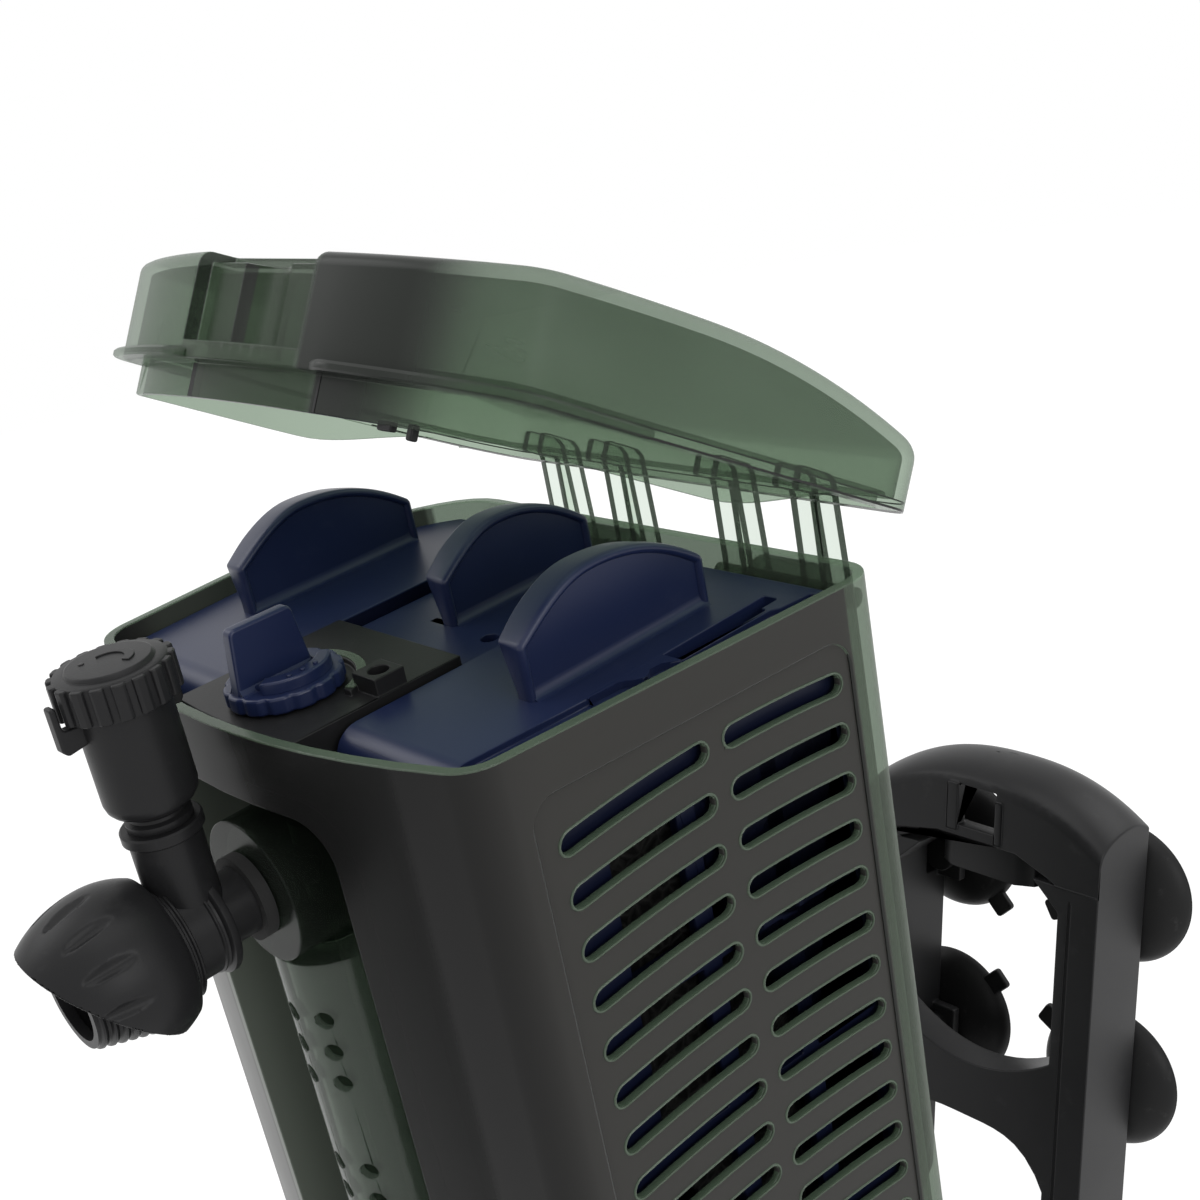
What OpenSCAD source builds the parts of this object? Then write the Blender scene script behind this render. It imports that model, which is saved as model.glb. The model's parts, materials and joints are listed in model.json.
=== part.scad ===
// Submersible aquarium filter standing on its base, lid propped open, with the hanging
// bracket drawn off behind it. X runs across the front, the front faces -Y and Z is up.
// The origin is the centre of the ground under the feet.

/* [Casing] */
// Height of the casing's rim above the ground
casing_h = 270; // [258:1:282]
// Width of the casing at the middle of its depth
casing_w = 119.3; // [117:0.1:124]
// Depth of the casing from the front bow to the back wall
casing_d = 92; // [91:0.5:96]
// Thickness of the moulded walls
wall = 2; // [1.6:0.1:2.4]
// Growth of the half width for each millimetre towards the back
side_taper = 0.105; // [0.09:0.005:0.12]
// Radius of the bowed front
front_bow = 155; // [145:1:170]
// Radius of the two front corners
corner_front = 8; // [7:0.5:9]
// Radius of the right back corner
corner_back = 6; // [5:0.5:7]
// Sideways reach of the swept left back corner
sweep_w = 25; // [22:1:27]
// Front to back reach of the swept left back corner
sweep_d = 50; // [46:1:54]
// Height of the base tray that carries the pump
tray_h = 42; // [40:1:44]
// Height of the rubber feet under the tray
foot_h = 1.5; // [1:0.1:2]
// Radius of a rubber foot
foot_r = 6; // [5:0.5:7]

/* [Side grilles] */
// Number of slot rows on each side
slot_rows = 21; // [16:1:21]
// Distance from one slot row to the next
slot_pitch = 9.26; // [8.6:0.02:9.28]
// Height of a slot
slot_h = 3.7; // [3:0.1:4.2]
// Drop of the slots' front ends below their crest
slot_sag = 3; // [0:0.2:3.4]
// Depth of the top row's centre below the rim
slot_drop = 15; // [14:0.5:17]
// Depth of the sunk panel that carries the slots
panel_sink = 0.6; // [0.4:0.1:0.8]

/* [Front niche and spray column] */
// Half width of the niche
niche_w = 26; // [25:0.5:28]
// Depth of the niche behind the front bow
niche_d = 24.5; // [24:0.5:26]
// Depth of the niche's ceiling below the rim
niche_drop = 13; // [12:0.5:14]
// Outer radius of the spray column
spray_r = 11.5; // [11:0.1:12]
// Wall of the spray column
spray_wall = 1.6; // [1.2:0.1:2]
// Radius of a spray hole
spray_hole_r = 1.7; // [1.2:0.1:2]
// Height from one spray hole to the next in a group
spray_pitch = 6.7; // [6:0.1:7]
// Height from one group of spray holes to the next
spray_group = 33; // [30:0.5:34]
// Number of groups of spray holes
spray_groups = 5; // [3:1:5]

/* [Outlet and nozzle] */
// Depth of the outlet's axis below the rim
outlet_drop = 32; // [31:0.5:33]
// Outer radius of the outlet drum
drum_r = 13; // [12.5:0.1:13.5]
// Outer radius of the spigot that turns in the drum
spigot_r = 6; // [5.5:0.1:6.5]
// Distance of the air stem's axis in front of the front bow
stem_out = 11.3; // [11:0.1:12]
// Outer radius of the air stem
stem_r = 5.8; // [5.4:0.1:6.2]
// Radius of the tee's front flange
flange_r = 10.2; // [9.4:0.1:10.6]
// Largest radius of the nozzle head
head_r = 14.3; // [13.5:0.1:14.8]
// Reach of the nozzle head's hood in front of its widest place
head_len = 17.5; // [15:0.5:18]
// How far the nozzle head is turned about the outlet, in degrees
head_turn = 10; // [0:1:30]
// Radius of the air valve's body
valve_r = 7.5; // [7:0.1:8]
// Radius of the air valve's cap
cap_r = 9.7; // [9.3:0.1:10]
// Height of the air valve's cap
cap_h = 6.8; // [6.4:0.1:8]

/* [Flow dial] */
// Radius of the flow dial
dial_r = 10; // [9.5:0.5:10.5]
// Thickness of the flow dial
dial_t = 3; // [2.5:0.5:3.5]
// Height of the finger tab above the dial
tab_h = 11; // [9:0.5:12]
// Length of the finger tab
tab_len = 11.5; // [10:0.5:13]
// Radius of the dial's spindle
spindle_r = 3; // [2.6:0.1:3.2]
// Radius of the valve rotor under the dial
rotor_r = 6.1; // [5.6:0.1:6.2]

/* [Cartridges] */
// Depth of the side cartridges' plates below the rim
side_plate_drop = 3; // [2:0.5:4]
// Depth of the middle cartridge's plate below the rim
mid_plate_drop = 5; // [4:0.5:6]
// Thickness of a cartridge plate
plate_t = 3.5; // [3:0.5:4]
// Half width of the middle bay
bay_w = 18; // [17.5:0.5:18.5]
// Distance of the side handles from the middle
fin_x = 39.5; // [38:0.5:41]
// Height of the handles above the side plates
fin_h = 17; // [14:0.5:17.5]
// Thickness of a cartridge's cage
cage_t = 2; // [1.6:0.1:2.4]

/* [Lid] */
// How far the lid stands open at rest, in degrees
lid_open = 30.5; // [20:0.5:45]
// Height of the lid's crown above the rim
lid_crown = 19.6; // [18.4:0.1:21]
// Drop from the lid's crown to its front edge
lid_front_fall = 1.4; // [1:0.1:2]
// Drop from the lid's crown to its back edge
lid_back_fall = 9; // [8:0.1:9.5]
// Depth of the skirt that enters the casing
skirt_h = 5.5; // [4.5:0.5:6]
// Distance of the hinge axis behind the casing
hinge_out = 14; // [13.5:0.5:15]
// Depth of the hinge axis below the rim
hinge_drop = 14.7; // [14:0.1:16]
// Radius of the hinge pins
hinge_pin_r = 2; // [1.8:0.1:2.2]
// Half the distance between the two hinges
hinge_x = 24.5; // [23:0.5:26]

/* [Pump] */
// Radius of the rotor magnet
magnet_r = 7; // [6:0.5:7.5]
// Radius of the impeller
impeller_r = 11.5; // [10:0.5:12]
// Number of impeller blades
blade_count = 6; // [4:1:8]
// Radius of the ceramic shaft
shaft_r = 1.5; // [1.2:0.1:1.8]
// Radius of the lead's bore in the cable gland
gland_bore_r = 2.8; // [2.4:0.1:3.2]

/* [Hanging bracket] */
// How far the bracket is drawn off behind the casing
bracket_pull = 73; // [60:1:90]
// How far the bracket leans away from the casing at rest, in degrees
bracket_lean = 13.1; // [8:0.1:16]
// Half width of the bracket
bracket_w = 36; // [35.5:0.5:38]
// Depth of the bracket's side rails
rail_d = 24; // [22:0.5:26]
// Width of a side rail
rail_w = 11; // [10:0.5:11]
// Height of the arch above the pivot
arch_h = 150.5; // [149.5:0.5:156]
// Radius of a suction cup
cup_r = 19.5; // [18:0.5:20]
// Distance of the suction cups from the middle
cup_x = 25.5; // [25:0.5:27]
// Height of the lower cups above the pivot
cup_low = 60; // [58:1:62]
// Height from the lower cups to the upper cups
cup_rise = 54; // [50:1:56]

/* [Hidden] */
$fn = 48;

fit = 0.3;         // clearance between pieces that stay put
run = 0.06;        // radial clearance of a turning fit
eps = 0.01;        // overshoot of a cut
corner_steps = 7;  // points on a small corner of the outline

// Casing outline, worked out from the walls and the corner radii
y_front = -casing_d / 2;
y_back = casing_d / 2;
slant = sqrt(1 + side_taper * side_taper);
side_turn = atan(side_taper);
bow_y = y_front + front_bow;
bc_y = y_back - corner_back;
bc_x = casing_w / 2 + side_taper * bc_y - corner_back * slant;
sweep_y = y_back - sweep_d;
sweep_x = sweep_w - (casing_w / 2 + side_taper * sweep_y);

// Heights
cell_z = tray_h + wall;
niche_z0 = cell_z + 4;
niche_z1 = casing_h - niche_drop;
niche_back = y_front + niche_d;
outlet_z = casing_h - outlet_drop;
deck_t = 6;
deck_z = casing_h - 2;
deck_z0 = deck_z - deck_t;
side_plate_z = casing_h - side_plate_drop;
mid_plate_z = casing_h - mid_plate_drop;

// Places in plan
dial_y = y_front + 15.9;
spray_y = y_front + 1 + spray_r;
column_y0 = niche_back + wall + fit;
column_d = 12;
column_y1 = column_y0 + column_d;
drum_y1 = niche_back - fit;
drum_wall = 2;
stem_y = y_front - stem_out;
stem_top = outlet_z + 20;
valve_z0 = stem_top + 3;
cap_top = casing_h + 16;
hinge_y = y_back + hinge_out;
hinge_z = casing_h - hinge_drop;
side_in = wall + 1;
cage_y0 = y_front + 11;
cage_y1 = y_back - 6;
cage_gap = 1;
pump_z = 21;
pump_y = column_y0 + column_d / 2;

// Bracket, measured from its pivot with the bracket upright
pivot_z = 12;
pivot_in = 8;
bracket_gap = 0.6;
pivot_y = y_back + bracket_gap + pivot_in + bracket_pull;
rail_y1 = rail_d - pivot_in;

// Points of an arc about c
function arc(c, r, a0, a1, n = corner_steps) =
    [for (i = [0 : n]) let (a = a0 + (a1 - a0) * i / n) [c[0] + r * cos(a), c[1] + r * sin(a)]];

// Point of the swept corner at angle a, drawn in by e
function sweep_point(a, e) =
    let (nx = cos(a) / sweep_w, ny = sin(a) / sweep_d, n = sqrt(nx * nx + ny * ny))
    [sweep_x + sweep_w * cos(a) - e * nx / n, sweep_y + sweep_d * sin(a) - e * ny / n];

// Centre of a front corner of radius r
function corner_at(r) =
    let (reach = casing_w / 2 - r * slant,
        b = 2 * reach * side_taper - 2 * bow_y,
        c = reach * reach + bow_y * bow_y - pow(front_bow - r, 2),
        y = (-b - sqrt(b * b - 4 * slant * slant * c)) / (2 * slant * slant))
    [reach + side_taper * y, y];

// Plan outline of the casing, drawn in by e, with front corners of radius r
function outline(e, r = corner_front) =
    let (c = corner_at(r), turn = atan2(c[1] - bow_y, c[0])) concat(
    arc([0, bow_y], front_bow - e, -180 - turn, turn, 12),
    arc(c, r - e, turn, -side_turn),
    arc([bc_x, bc_y], max(corner_back - e, 0.6), -side_turn, 90),
    [for (i = [0 : 12]) sweep_point(90 + 90 * i / 12, e)],
    arc([-c[0], c[1]], r - e, 180 + side_turn, 180 - turn));

// Points of a slot with round ends from y0 to y1, bowed down away from its crest
function slot_fall(y) = slot_sag * pow((y - 12) / 36, 2);
function slot_line(y0, y1, z, h) = let (r = h / 2, n = 5) [for (p = concat(
    arc([y1 - r, z], r, -90, 90, 5), [for (i = [1 : n - 1]) [y1 - r + (y0 - y1 + h) * i / n, z + r]],
    arc([y0 + r, z], r, 90, 270, 5), [for (i = [1 : n - 1]) [y0 + r + (y1 - y0 - h) * i / n, z - r]]))
    [p[0], p[1] - slot_fall(p[0])]];

// Rectangle with round corners
function rounded_rect(y0, y1, z0, z1, r) = concat(
    arc([y1 - r, z1 - r], r, 0, 90, 5), arc([y0 + r, z1 - r], r, 90, 180, 5),
    arc([y0 + r, z0 + r], r, 180, 270, 5), arc([y1 - r, z0 + r], r, 270, 360, 5));

module prism(z0, z1, e, r = corner_front) {
    translate([0, 0, z0]) linear_extrude(z1 - z0) polygon(outline(e, r));
}

// Box given by its two far corners
module span(a, b) { translate(a) cube(b - a); }

// Cylinder along Y from y0 to y1
module rod_y(x, z, r, y0, y1) { translate([x, y1, z]) rotate([90, 0, 0]) cylinder(r = r, h = y1 - y0); }

// Cylinder along X from x0 to x1
module rod_x(y, z, r, x0, x1) { translate([x0, y, z]) rotate([0, 90, 0]) cylinder(r = r, h = x1 - x0); }

module both_sides() { children(); mirror([1, 0, 0]) children(); }

// Sheet drawn in the YZ plane, from x0 to x1
module sheet_x(x0, x1, points) {
    translate([x0, 0, 0]) rotate([90, 0, 90]) linear_extrude(x1 - x0) polygon(points);
}

// Slots of one side as cutters, in the YZ plane
slot_back = [8.5, 34.2];
slot_front = [-24, 5];
module slot_cutters(x0, x1) {
    for (i = [0 : slot_rows - 1]) {
        z = casing_h - slot_drop - i * slot_pitch;
        for (s = [slot_back, slot_front])
            sheet_x(x0, x1, slot_line(s[0], s[1], z, slot_h));
    }
}

// Outline of the niche's mouth, grown by g
niche_round = 8;
module niche_block(y0, y1, g) {
    w = niche_w + g;
    z1 = niche_z1 + g;
    r = niche_round + g;
    translate([0, y1, 0]) rotate([90, 0, 0]) linear_extrude(y1 - y0)
        polygon(concat([[-w, niche_z0 - g], [w, niche_z0 - g]],
            arc([w - r, z1 - r], r, 0, 90), arc([r - w, z1 - r], r, 90, 180)));
}

panel_round = 5;
panel_y0 = -28;
panel_y1 = 36.5;
panel_z0 = casing_h - slot_drop - (slot_rows - 1) * slot_pitch - 6;
panel_z1 = casing_h - slot_drop + 6.5;
hinge_mid = 5;   // middle of the two hinges, over the flat of the back wall
hinge_at = [hinge_mid - hinge_x, hinge_mid + hinge_x];
ear_w = 6;       // half width of a hinge ear
ear_r = 5;       // radius of its barrel
latch_drop = 12;  // latch below the arch's top
latch_z = pivot_z + arch_h - latch_drop;
latch_w = 3.6;

module hinge_ear(x) {
    rod_x(hinge_y, hinge_z, ear_r, x - ear_w, x + ear_w);
    span([x - ear_w, y_back - wall / 2, hinge_z - ear_r], [x + ear_w, hinge_y, hinge_z + 1]);
}

module casing() {
    color([0.36, 0.46, 0.38, 0.55]) difference() {
        union() {
            difference() {
                prism(tray_h, casing_h, 0);
                prism(cell_z, casing_h + 1, wall);
            }
            intersection() {
                niche_block(y_front - 1, niche_back + wall, wall);
                prism(tray_h, casing_h, 0);
            }
            for (x = hinge_at) hinge_ear(x);
            span([-latch_w, y_back - wall / 2, latch_z - 3], [latch_w, y_back + 5, latch_z + 3]);
        }
        niche_block(y_front - 2, niche_back, 0);
        both_sides() difference() {
            sheet_x(40, 90, rounded_rect(panel_y0, panel_y1, panel_z0, panel_z1, panel_round));
            prism(panel_z0 - 1, panel_z1 + 1, panel_sink);
        }
        both_sides() slot_cutters(40, 80);
        for (x = hinge_at)
            rod_x(hinge_y, hinge_z, hinge_pin_r + run, x - ear_w - 1, x + ear_w + 1);
        rod_y(0, outlet_z, spigot_r, niche_back - 1, niche_back + wall + 1);
        translate([0, dial_y, niche_z1 - 1]) cylinder(r = spindle_r + fit, h = wall + 2);
        translate([0, pump_y, tray_h - 1]) cylinder(r = duct_r, h = wall + 2);
    }
}

// Base tray with its intake slots
duct_r = 4;
tray_z0 = foot_h;
intake_h = 18;
gland_x = 47;
gland_r = 6;
hook_slot_w = 15;
hook_slot_h = 9;
screw_r = 1.6;
module base_tray() {
    color([0.08, 0.08, 0.085]) difference() {
        prism(tray_z0, tray_h, 0);
        prism(tray_z0 + wall, tray_h + 1, wall);
        for (i = [-4 : 4])
            span([i * 8 - 2, y_front - 1, 10], [i * 8 + 2, y_front + 12, 10 + intake_h]);
        rod_y(gland_x, pump_z, gland_r, y_back - wall - 1, y_back + 1);
        span([-hook_slot_w, y_back - wall - 1, pivot_z - hook_slot_h / 2],
            [hook_slot_w, y_back + 1, pivot_z + hook_slot_h / 2]);
        for (p = foot_places) translate([p[0], p[1], tray_z0 - 1]) cylinder(r = foot_r - 2, h = 2 + wall);
    }
}

foot_places = [[-44, -26], [44, -26], [-44, 20], [50, 32]];
module rubber_feet() {
    color([0.05, 0.05, 0.05]) for (p = foot_places) translate([p[0], p[1], 0]) {
        cylinder(r = foot_r, h = foot_h);
        cylinder(r = foot_r - 2, h = foot_h + wall + 1);
    }
}

// Height of the lid's outer top above the rim at depth y
lid_peak_y = -5;
function lid_top(y) = lid_crown - (y < lid_peak_y
    ? lid_front_fall * pow((lid_peak_y - y) / (lid_peak_y - y_front), 2)
    : lid_back_fall * pow((y - lid_peak_y) / (y_back - lid_peak_y), 2));

lid_lift = 0.3;
lid_over = 1.2;
lid_corner = 3.6;
module lid_profile(z0, lower) {
    sheet_x(-90, 90, concat(
        [for (i = [0 : 24]) let (y = y_front - 4 + (casing_d + 8) * i / 24) [y, casing_h + lid_top(y) - lower]],
        [[y_back + 4, z0], [y_front - 4, z0]]));
}

notch_w = 17;
notch_d = 2.4;
notch_t = 1.4;
channel_l = 6.4;  // length and depth of the channel that runs on over the top
channel_d = 1.45;
scoop_w = 6.8;    // half width and depth of the finger scoop in the notch
scoop_d = 2.4;
scoop_r = (scoop_w * scoop_w + scoop_d * scoop_d) / (2 * scoop_d);
scoop_y = y_front + notch_d + scoop_d - scoop_r;
channel_z = casing_h + lid_crown - lid_front_fall - channel_d;
ledge_t = 1.6;
ledge_out = 3;
arm_t = 1.6;
skirt_in = wall + fit;
skirt_t = 1.2;
skirt_y1 = 14;   // behind this the skirt would foul the back of the casing as the lid swings
arm_x = [ear_w + 0.6, ear_w + 4.8, ear_w + 9];
module lid_arm(x) {
    sheet_x(x, x + arm_t, concat(
        arc([hinge_y, hinge_z], ear_r, -100, 60, 10),
        [[y_back + 2, casing_h + 6], [y_back - 4, casing_h + 6], [y_back - 4, casing_h + 1.2],
         [y_back + 1, casing_h + 1.2], [hinge_y - 5.5, hinge_z + 3]]));
}

module lid_closed() {
    base = casing_h + lid_lift;
    difference() {
        union() {
            difference() {
                intersection() {
                    prism(base, casing_h + 30, -lid_over, lid_corner);
                    lid_profile(casing_h - 1, 0);
                }
                intersection() {
                    prism(base - 1, casing_h + 30, wall - lid_over, lid_corner);
                    lid_profile(casing_h - 2, wall);
                }
            }
            difference() {
                prism(casing_h - skirt_h, base + 3, skirt_in);
                prism(casing_h - skirt_h - 1, base + 4, skirt_in + skirt_t);
                span([-90, skirt_y1, casing_h - skirt_h - 1], [90, y_back + 1, base + 1]);
            }
            difference() {
                prism(base, base + wall, -lid_over + 0.4, lid_corner);
                prism(base - 1, base + wall + 1, skirt_in + skirt_t);
            }
            difference() {
                intersection() {
                    prism(base, base + ledge_t, -ledge_out, lid_corner);
                    span([-90, y_front - 5, base], [90, y_front + 22, base + ledge_t]);
                }
                prism(base - 1, base + 4, 1);
                span([-notch_w, y_front - 6, base - 1], [notch_w, y_front + 1, base + 4]);
            }
            intersection() {
                union() {
                    span([-notch_w - notch_t, y_front - 2, base], [notch_w + notch_t, y_front + notch_d + notch_t, casing_h + 30]);
                    span([-notch_w - notch_t, y_front - 2, channel_z - notch_t], [notch_w + notch_t, y_front + channel_l + notch_t, casing_h + 30]);
                    translate([0, scoop_y, base + 3 - notch_t]) cylinder(r = scoop_r + notch_t, h = 30, $fn = 96);
                }
                prism(base, casing_h + 30, -lid_over);
                lid_profile(casing_h - 1, 0);
            }
            for (x = hinge_at, a = arm_x) {
                lid_arm(x + a);
                lid_arm(x - a - arm_t);
            }
        }
        span([-notch_w, y_front - 3, base + 3], [notch_w, y_front + notch_d, casing_h + 31]);
        span([-notch_w, y_front - 3, channel_z], [notch_w, y_front + channel_l, casing_h + 31]);
        translate([0, scoop_y, base + 3]) cylinder(r = scoop_r, h = 30, $fn = 96);
        for (x = hinge_at)
            rod_x(hinge_y, hinge_z, hinge_pin_r, x - pin_half - 1, x + pin_half + 1);
    }
}

// Turns what is drawn closed about the hinge to its open rest
module at_lid() {
    translate([0, hinge_y, hinge_z]) rotate([-lid_open, 0, 0]) translate([0, -hinge_y, -hinge_z]) children();
}

module lid() { color([0.42, 0.52, 0.44, 0.5]) at_lid() lid_closed(); }

pin_half = ear_w + 9 + arm_t;
module hinge_pins() {
    color([0.2, 0.24, 0.22]) at_lid() for (x = hinge_at)
        rod_x(hinge_y, hinge_z, hinge_pin_r, x - pin_half, x + pin_half);
}

// Black duct behind the niche with the deck over it
ring_r = dial_r + 3.5;
lug_x = 14.5;
lug_y = dial_y + 9;
module flow_column() {
    half = bay_w - fit;
    color([0.09, 0.09, 0.095]) difference() {
        union() {
            span([-half, column_y0, cell_z], [half, column_y1, deck_z0]);
            intersection() {
                span([-half, y_front, deck_z0], [half, column_y1, deck_z]);
                difference() {
                    prism(deck_z0, deck_z, wall + fit);
                    skirt_room();
                }
            }
            translate([0, dial_y, deck_z - 1]) difference() {
                cylinder(r = ring_r, h = 2);
                translate([0, 0, -1]) cylinder(r = ring_r - 2, h = 4);
                span([-ring_r - 1, -ring_r - 1, -1], [ring_r + 1, 4, 4]);
            }
            span([lug_x - 3.5, lug_y - 3, deck_z - 1], [lug_x + 3, lug_y + 3, deck_z + 3]);
        }
        span([-half + wall, column_y0 + wall, cell_z - 1], [half - wall, column_y1 - wall, deck_z0 - wall]);
        translate([lug_x, lug_y, deck_z]) cylinder(r = 1.8, h = 4);
        rod_y(0, outlet_z, spigot_r, column_y0 - 1, column_y0 + wall + 1);
        translate([0, dial_y, deck_z0 - 1]) cylinder(r = spindle_r + run, h = deck_t + 2);
    }
}

// Dial with its finger tab and spindle
dial_z0 = deck_z + fit;
tab_shift = 0.35;
module flow_dial() {
    color([0.07, 0.09, 0.25]) translate([0, dial_y, 0]) {
        translate([0, 0, dial_z0]) cylinder(r = dial_r, h = dial_t);
        translate([0, 0, dial_z0 + dial_t - 0.2]) difference() {
            cylinder(r = 6.4, h = 1);
            translate([0, 0, -1]) cylinder(r = 5.4, h = 3);
        }
        translate([0, 0, rotor_z1 - 4]) cylinder(r = spindle_r, h = dial_z0 + 1 - rotor_z1 + 4);
        span([-1.3, -tab_len / 2 - tab_shift, dial_z0 + 1], [1.3, tab_len / 2 - tab_shift, dial_z0 + dial_t + tab_h]);
    }
}

rotor_half = 7.5;
rotor_z1 = outlet_z + rotor_half;
module valve_rotor() {
    color([0.12, 0.12, 0.13]) difference() {
        translate([0, dial_y, outlet_z - rotor_half]) cylinder(r = rotor_r, h = 2 * rotor_half);
        rod_y(0, outlet_z, 4, dial_y - rotor_r - 1, dial_y + rotor_r + 1);
        translate([0, dial_y, rotor_z1 - 4]) cylinder(r = spindle_r, h = 5);
    }
}

// Clear drum that holds the valve rotor and takes the nozzle's spigot
neck_r = 5;
module outlet_drum() {
    inner = drum_r - drum_wall;
    color([0.34, 0.46, 0.38, 0.55]) difference() {
        union() {
            rod_y(0, outlet_z, drum_r, y_front, drum_y1);
            translate([0, dial_y, outlet_z]) cylinder(r = spindle_r + 3, h = niche_z1 - fit - outlet_z);
            translate([0, spray_y, spray_top]) cylinder(r = neck_r, h = outlet_z - spray_top - 4);
        }
        rod_y(0, outlet_z, inner, y_front + drum_wall, drum_y1 - drum_wall);
        rod_y(0, outlet_z, spigot_r + run, y_front - 1, y_front + drum_wall + 1);
        rod_y(0, outlet_z, spigot_r - 1, drum_y1 - drum_wall - 1, drum_y1 + 1);
        translate([0, dial_y, outlet_z]) cylinder(r = spindle_r + run, h = 40);
        translate([0, spray_y, spray_top - 1]) cylinder(r = neck_r - 1.4, h = outlet_z - spray_top - 4);
    }
}

// Clear spray column with its groups of holes
spray_top = outlet_z - drum_r - 1.2;
spray_z0 = niche_z0 + 4;
spray_first = spray_top - 11.5;
spray_turn = 12;
spray_spread = 19;
module spray_column() {
    inner = spray_r - spray_wall;
    color([0.36, 0.48, 0.4, 0.5]) translate([0, spray_y, 0]) difference() {
        union() {
            translate([0, 0, spray_z0]) cylinder(r = spray_r, h = spray_top - spray_z0);
        }
        translate([0, 0, spray_z0 - 1]) cylinder(r = inner, h = spray_top - spray_z0 + 1 - spray_wall);
        translate([0, 0, spray_top - 3]) cylinder(r = neck_r, h = 4);
        for (g = [0 : spray_groups - 1], k = [0 : 2], s = [-1, 1])
            translate([0, 0, spray_first - g * spray_group - k * spray_pitch])
                rotate([90, 0, spray_turn + s * spray_spread]) cylinder(r = spray_hole_r, h = spray_r + 1, $fn = 20);
    }
}

module spray_plug() {
    color([0.1, 0.1, 0.11]) translate([0, spray_y, 0]) {
        translate([0, 0, niche_z0 + fit]) cylinder(r = spray_r, h = spray_z0 - niche_z0 - fit);
        translate([0, 0, spray_z0]) cylinder(r = spray_r - spray_wall, h = 5);
    }
}

// Black tee: spigot into the drum, flanges and the upright air stem
tee_r = 8.4;
tee_y1 = stem_y + 2.9;
tee_y0 = stem_y - stem_r - 0.2;
stub_r = 6.4;
stub_len = 5.6;
stub_y0 = tee_y0 - stub_len;
tee_bore = spigot_r - 1.6;
module nozzle_tee() {
    color([0.07, 0.07, 0.075]) difference() {
        union() {
            rod_y(0, outlet_z, spigot_r, tee_y1 - 1, y_front + drum_wall + 3);
            rod_y(0, outlet_z, tee_r, tee_y0, tee_y1);
            rod_y(0, outlet_z, flange_r - 0.8, tee_y1 - 1.5, tee_y1);
            rod_y(0, outlet_z, flange_r, tee_y0, tee_y0 + 1.6);
            rod_y(0, outlet_z, stub_r, stub_y0, tee_y0 + 1);
            rod_y(0, outlet_z, stub_r + 0.6, stub_y0, stub_y0 + 1.2);
            translate([0, stem_y, outlet_z]) cylinder(r = stem_r, h = stem_top - outlet_z - 2);
            translate([0, stem_y, stem_top - 2]) cylinder(r = stem_r + 0.8, h = 2);
        }
        rod_y(0, outlet_z, tee_bore, stub_y0 - 1, y_front + drum_wall + 4);
        translate([0, stem_y, outlet_z]) cylinder(r = valve_neck_r, h = stem_top - outlet_z + 1);
    }
}

module tee_seal() {
    color([0.04, 0.04, 0.04]) translate([0, y_front - 0.3, outlet_z]) rotate([90, 0, 0]) difference() {
        cylinder(r = spigot_r + 1.6, h = 2.2);
        translate([0, 0, -1]) cylinder(r = spigot_r + 0.03, h = 5);
    }
}

// Hooded head, turned about the outlet's axis and open below
head_y1 = tee_y0 - 0.4;
head_yc = head_y1 - 7.5;
head_wall = 1.6;
bulk_y0 = stub_y0 + 1.2 + 0.3;
mouth_drop = 5;
mouth_rise = 1.02;
module at_head() { translate([0, 0, outlet_z]) rotate([0, head_turn, 0]) children(); }
module head_solid(inset) {
    steps = 16;
    r = head_r - inset;
    translate([0, head_yc, 0]) rotate([90, 0, 0]) rotate_extrude() polygon(concat(
        [[0, head_yc - head_y1 + inset]],
        [for (i = [0 : 5]) let (t = (head_yc - head_y1 + inset) * (1 - i / 5)) [sqrt(r * r - t * t), t]],
        [for (i = [1 : steps]) [r * cos(90 * i / steps), (head_len - inset) * sin(90 * i / steps)]]));
}

// What lies in front of and below the mouth's slanted plane
module mouth_cutter() {
    y0 = head_yc - head_len - 6;
    sheet_x(-20, 20, [[head_y1 + 2, -mouth_drop - mouth_rise * (head_y1 + 2 - head_yc)],
        [y0, -mouth_drop - mouth_rise * (y0 - head_yc)], [y0, -30], [head_y1 + 2, -30]]);
}
module nozzle_head() {
    color([0.07, 0.07, 0.075]) at_head() difference() {
        union() {
            difference() {
                head_solid(0);
                head_solid(head_wall);
            }
            intersection() {
                head_solid(0);
                rod_y(0, 0, head_r, bulk_y0, head_y1);
            }
        }
        rod_y(0, 0, stub_r + run, bulk_y0 - 1, head_y1 + 1);
        difference() {
            mouth_cutter();
            span([-20, bulk_y0, -20], [20, head_y1 + 3, 20]);
        }
    }
}

// Ribbed liner inside the head's mouth, its rings stepping upward
liner_r = 8.6;
liner_ribs = 6;
liner_pitch = 1.7;
liner_rise = 0.38;
liner_drop = 4;
module nozzle_insert() {
    y1 = stub_y0 - 0.5;
    color([0.1, 0.1, 0.1]) at_head() difference() {
        union() {
            for (i = [0 : liner_ribs - 1]) let (z = -liner_drop + i * liner_pitch * liner_rise, y = y1 - i * liner_pitch) {
                rod_y(0, z, liner_r - 0.6, y - liner_pitch - eps, y);
                rod_y(0, z, liner_r, y - liner_pitch * 0.7, y - liner_pitch * 0.1);
            }
            span([-head_r + head_wall + 0.3, y1 - 2.4, -1.5], [head_r - head_wall - 0.3, y1 - 0.6, 0.5]);
        }
        for (i = [0 : liner_ribs - 1])
            rod_y(0, -liner_drop + i * liner_pitch * liner_rise, liner_r - 2, y1 - (i + 1) * liner_pitch - 0.5, y1 - i * liner_pitch + 0.5);
    }
}

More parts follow.
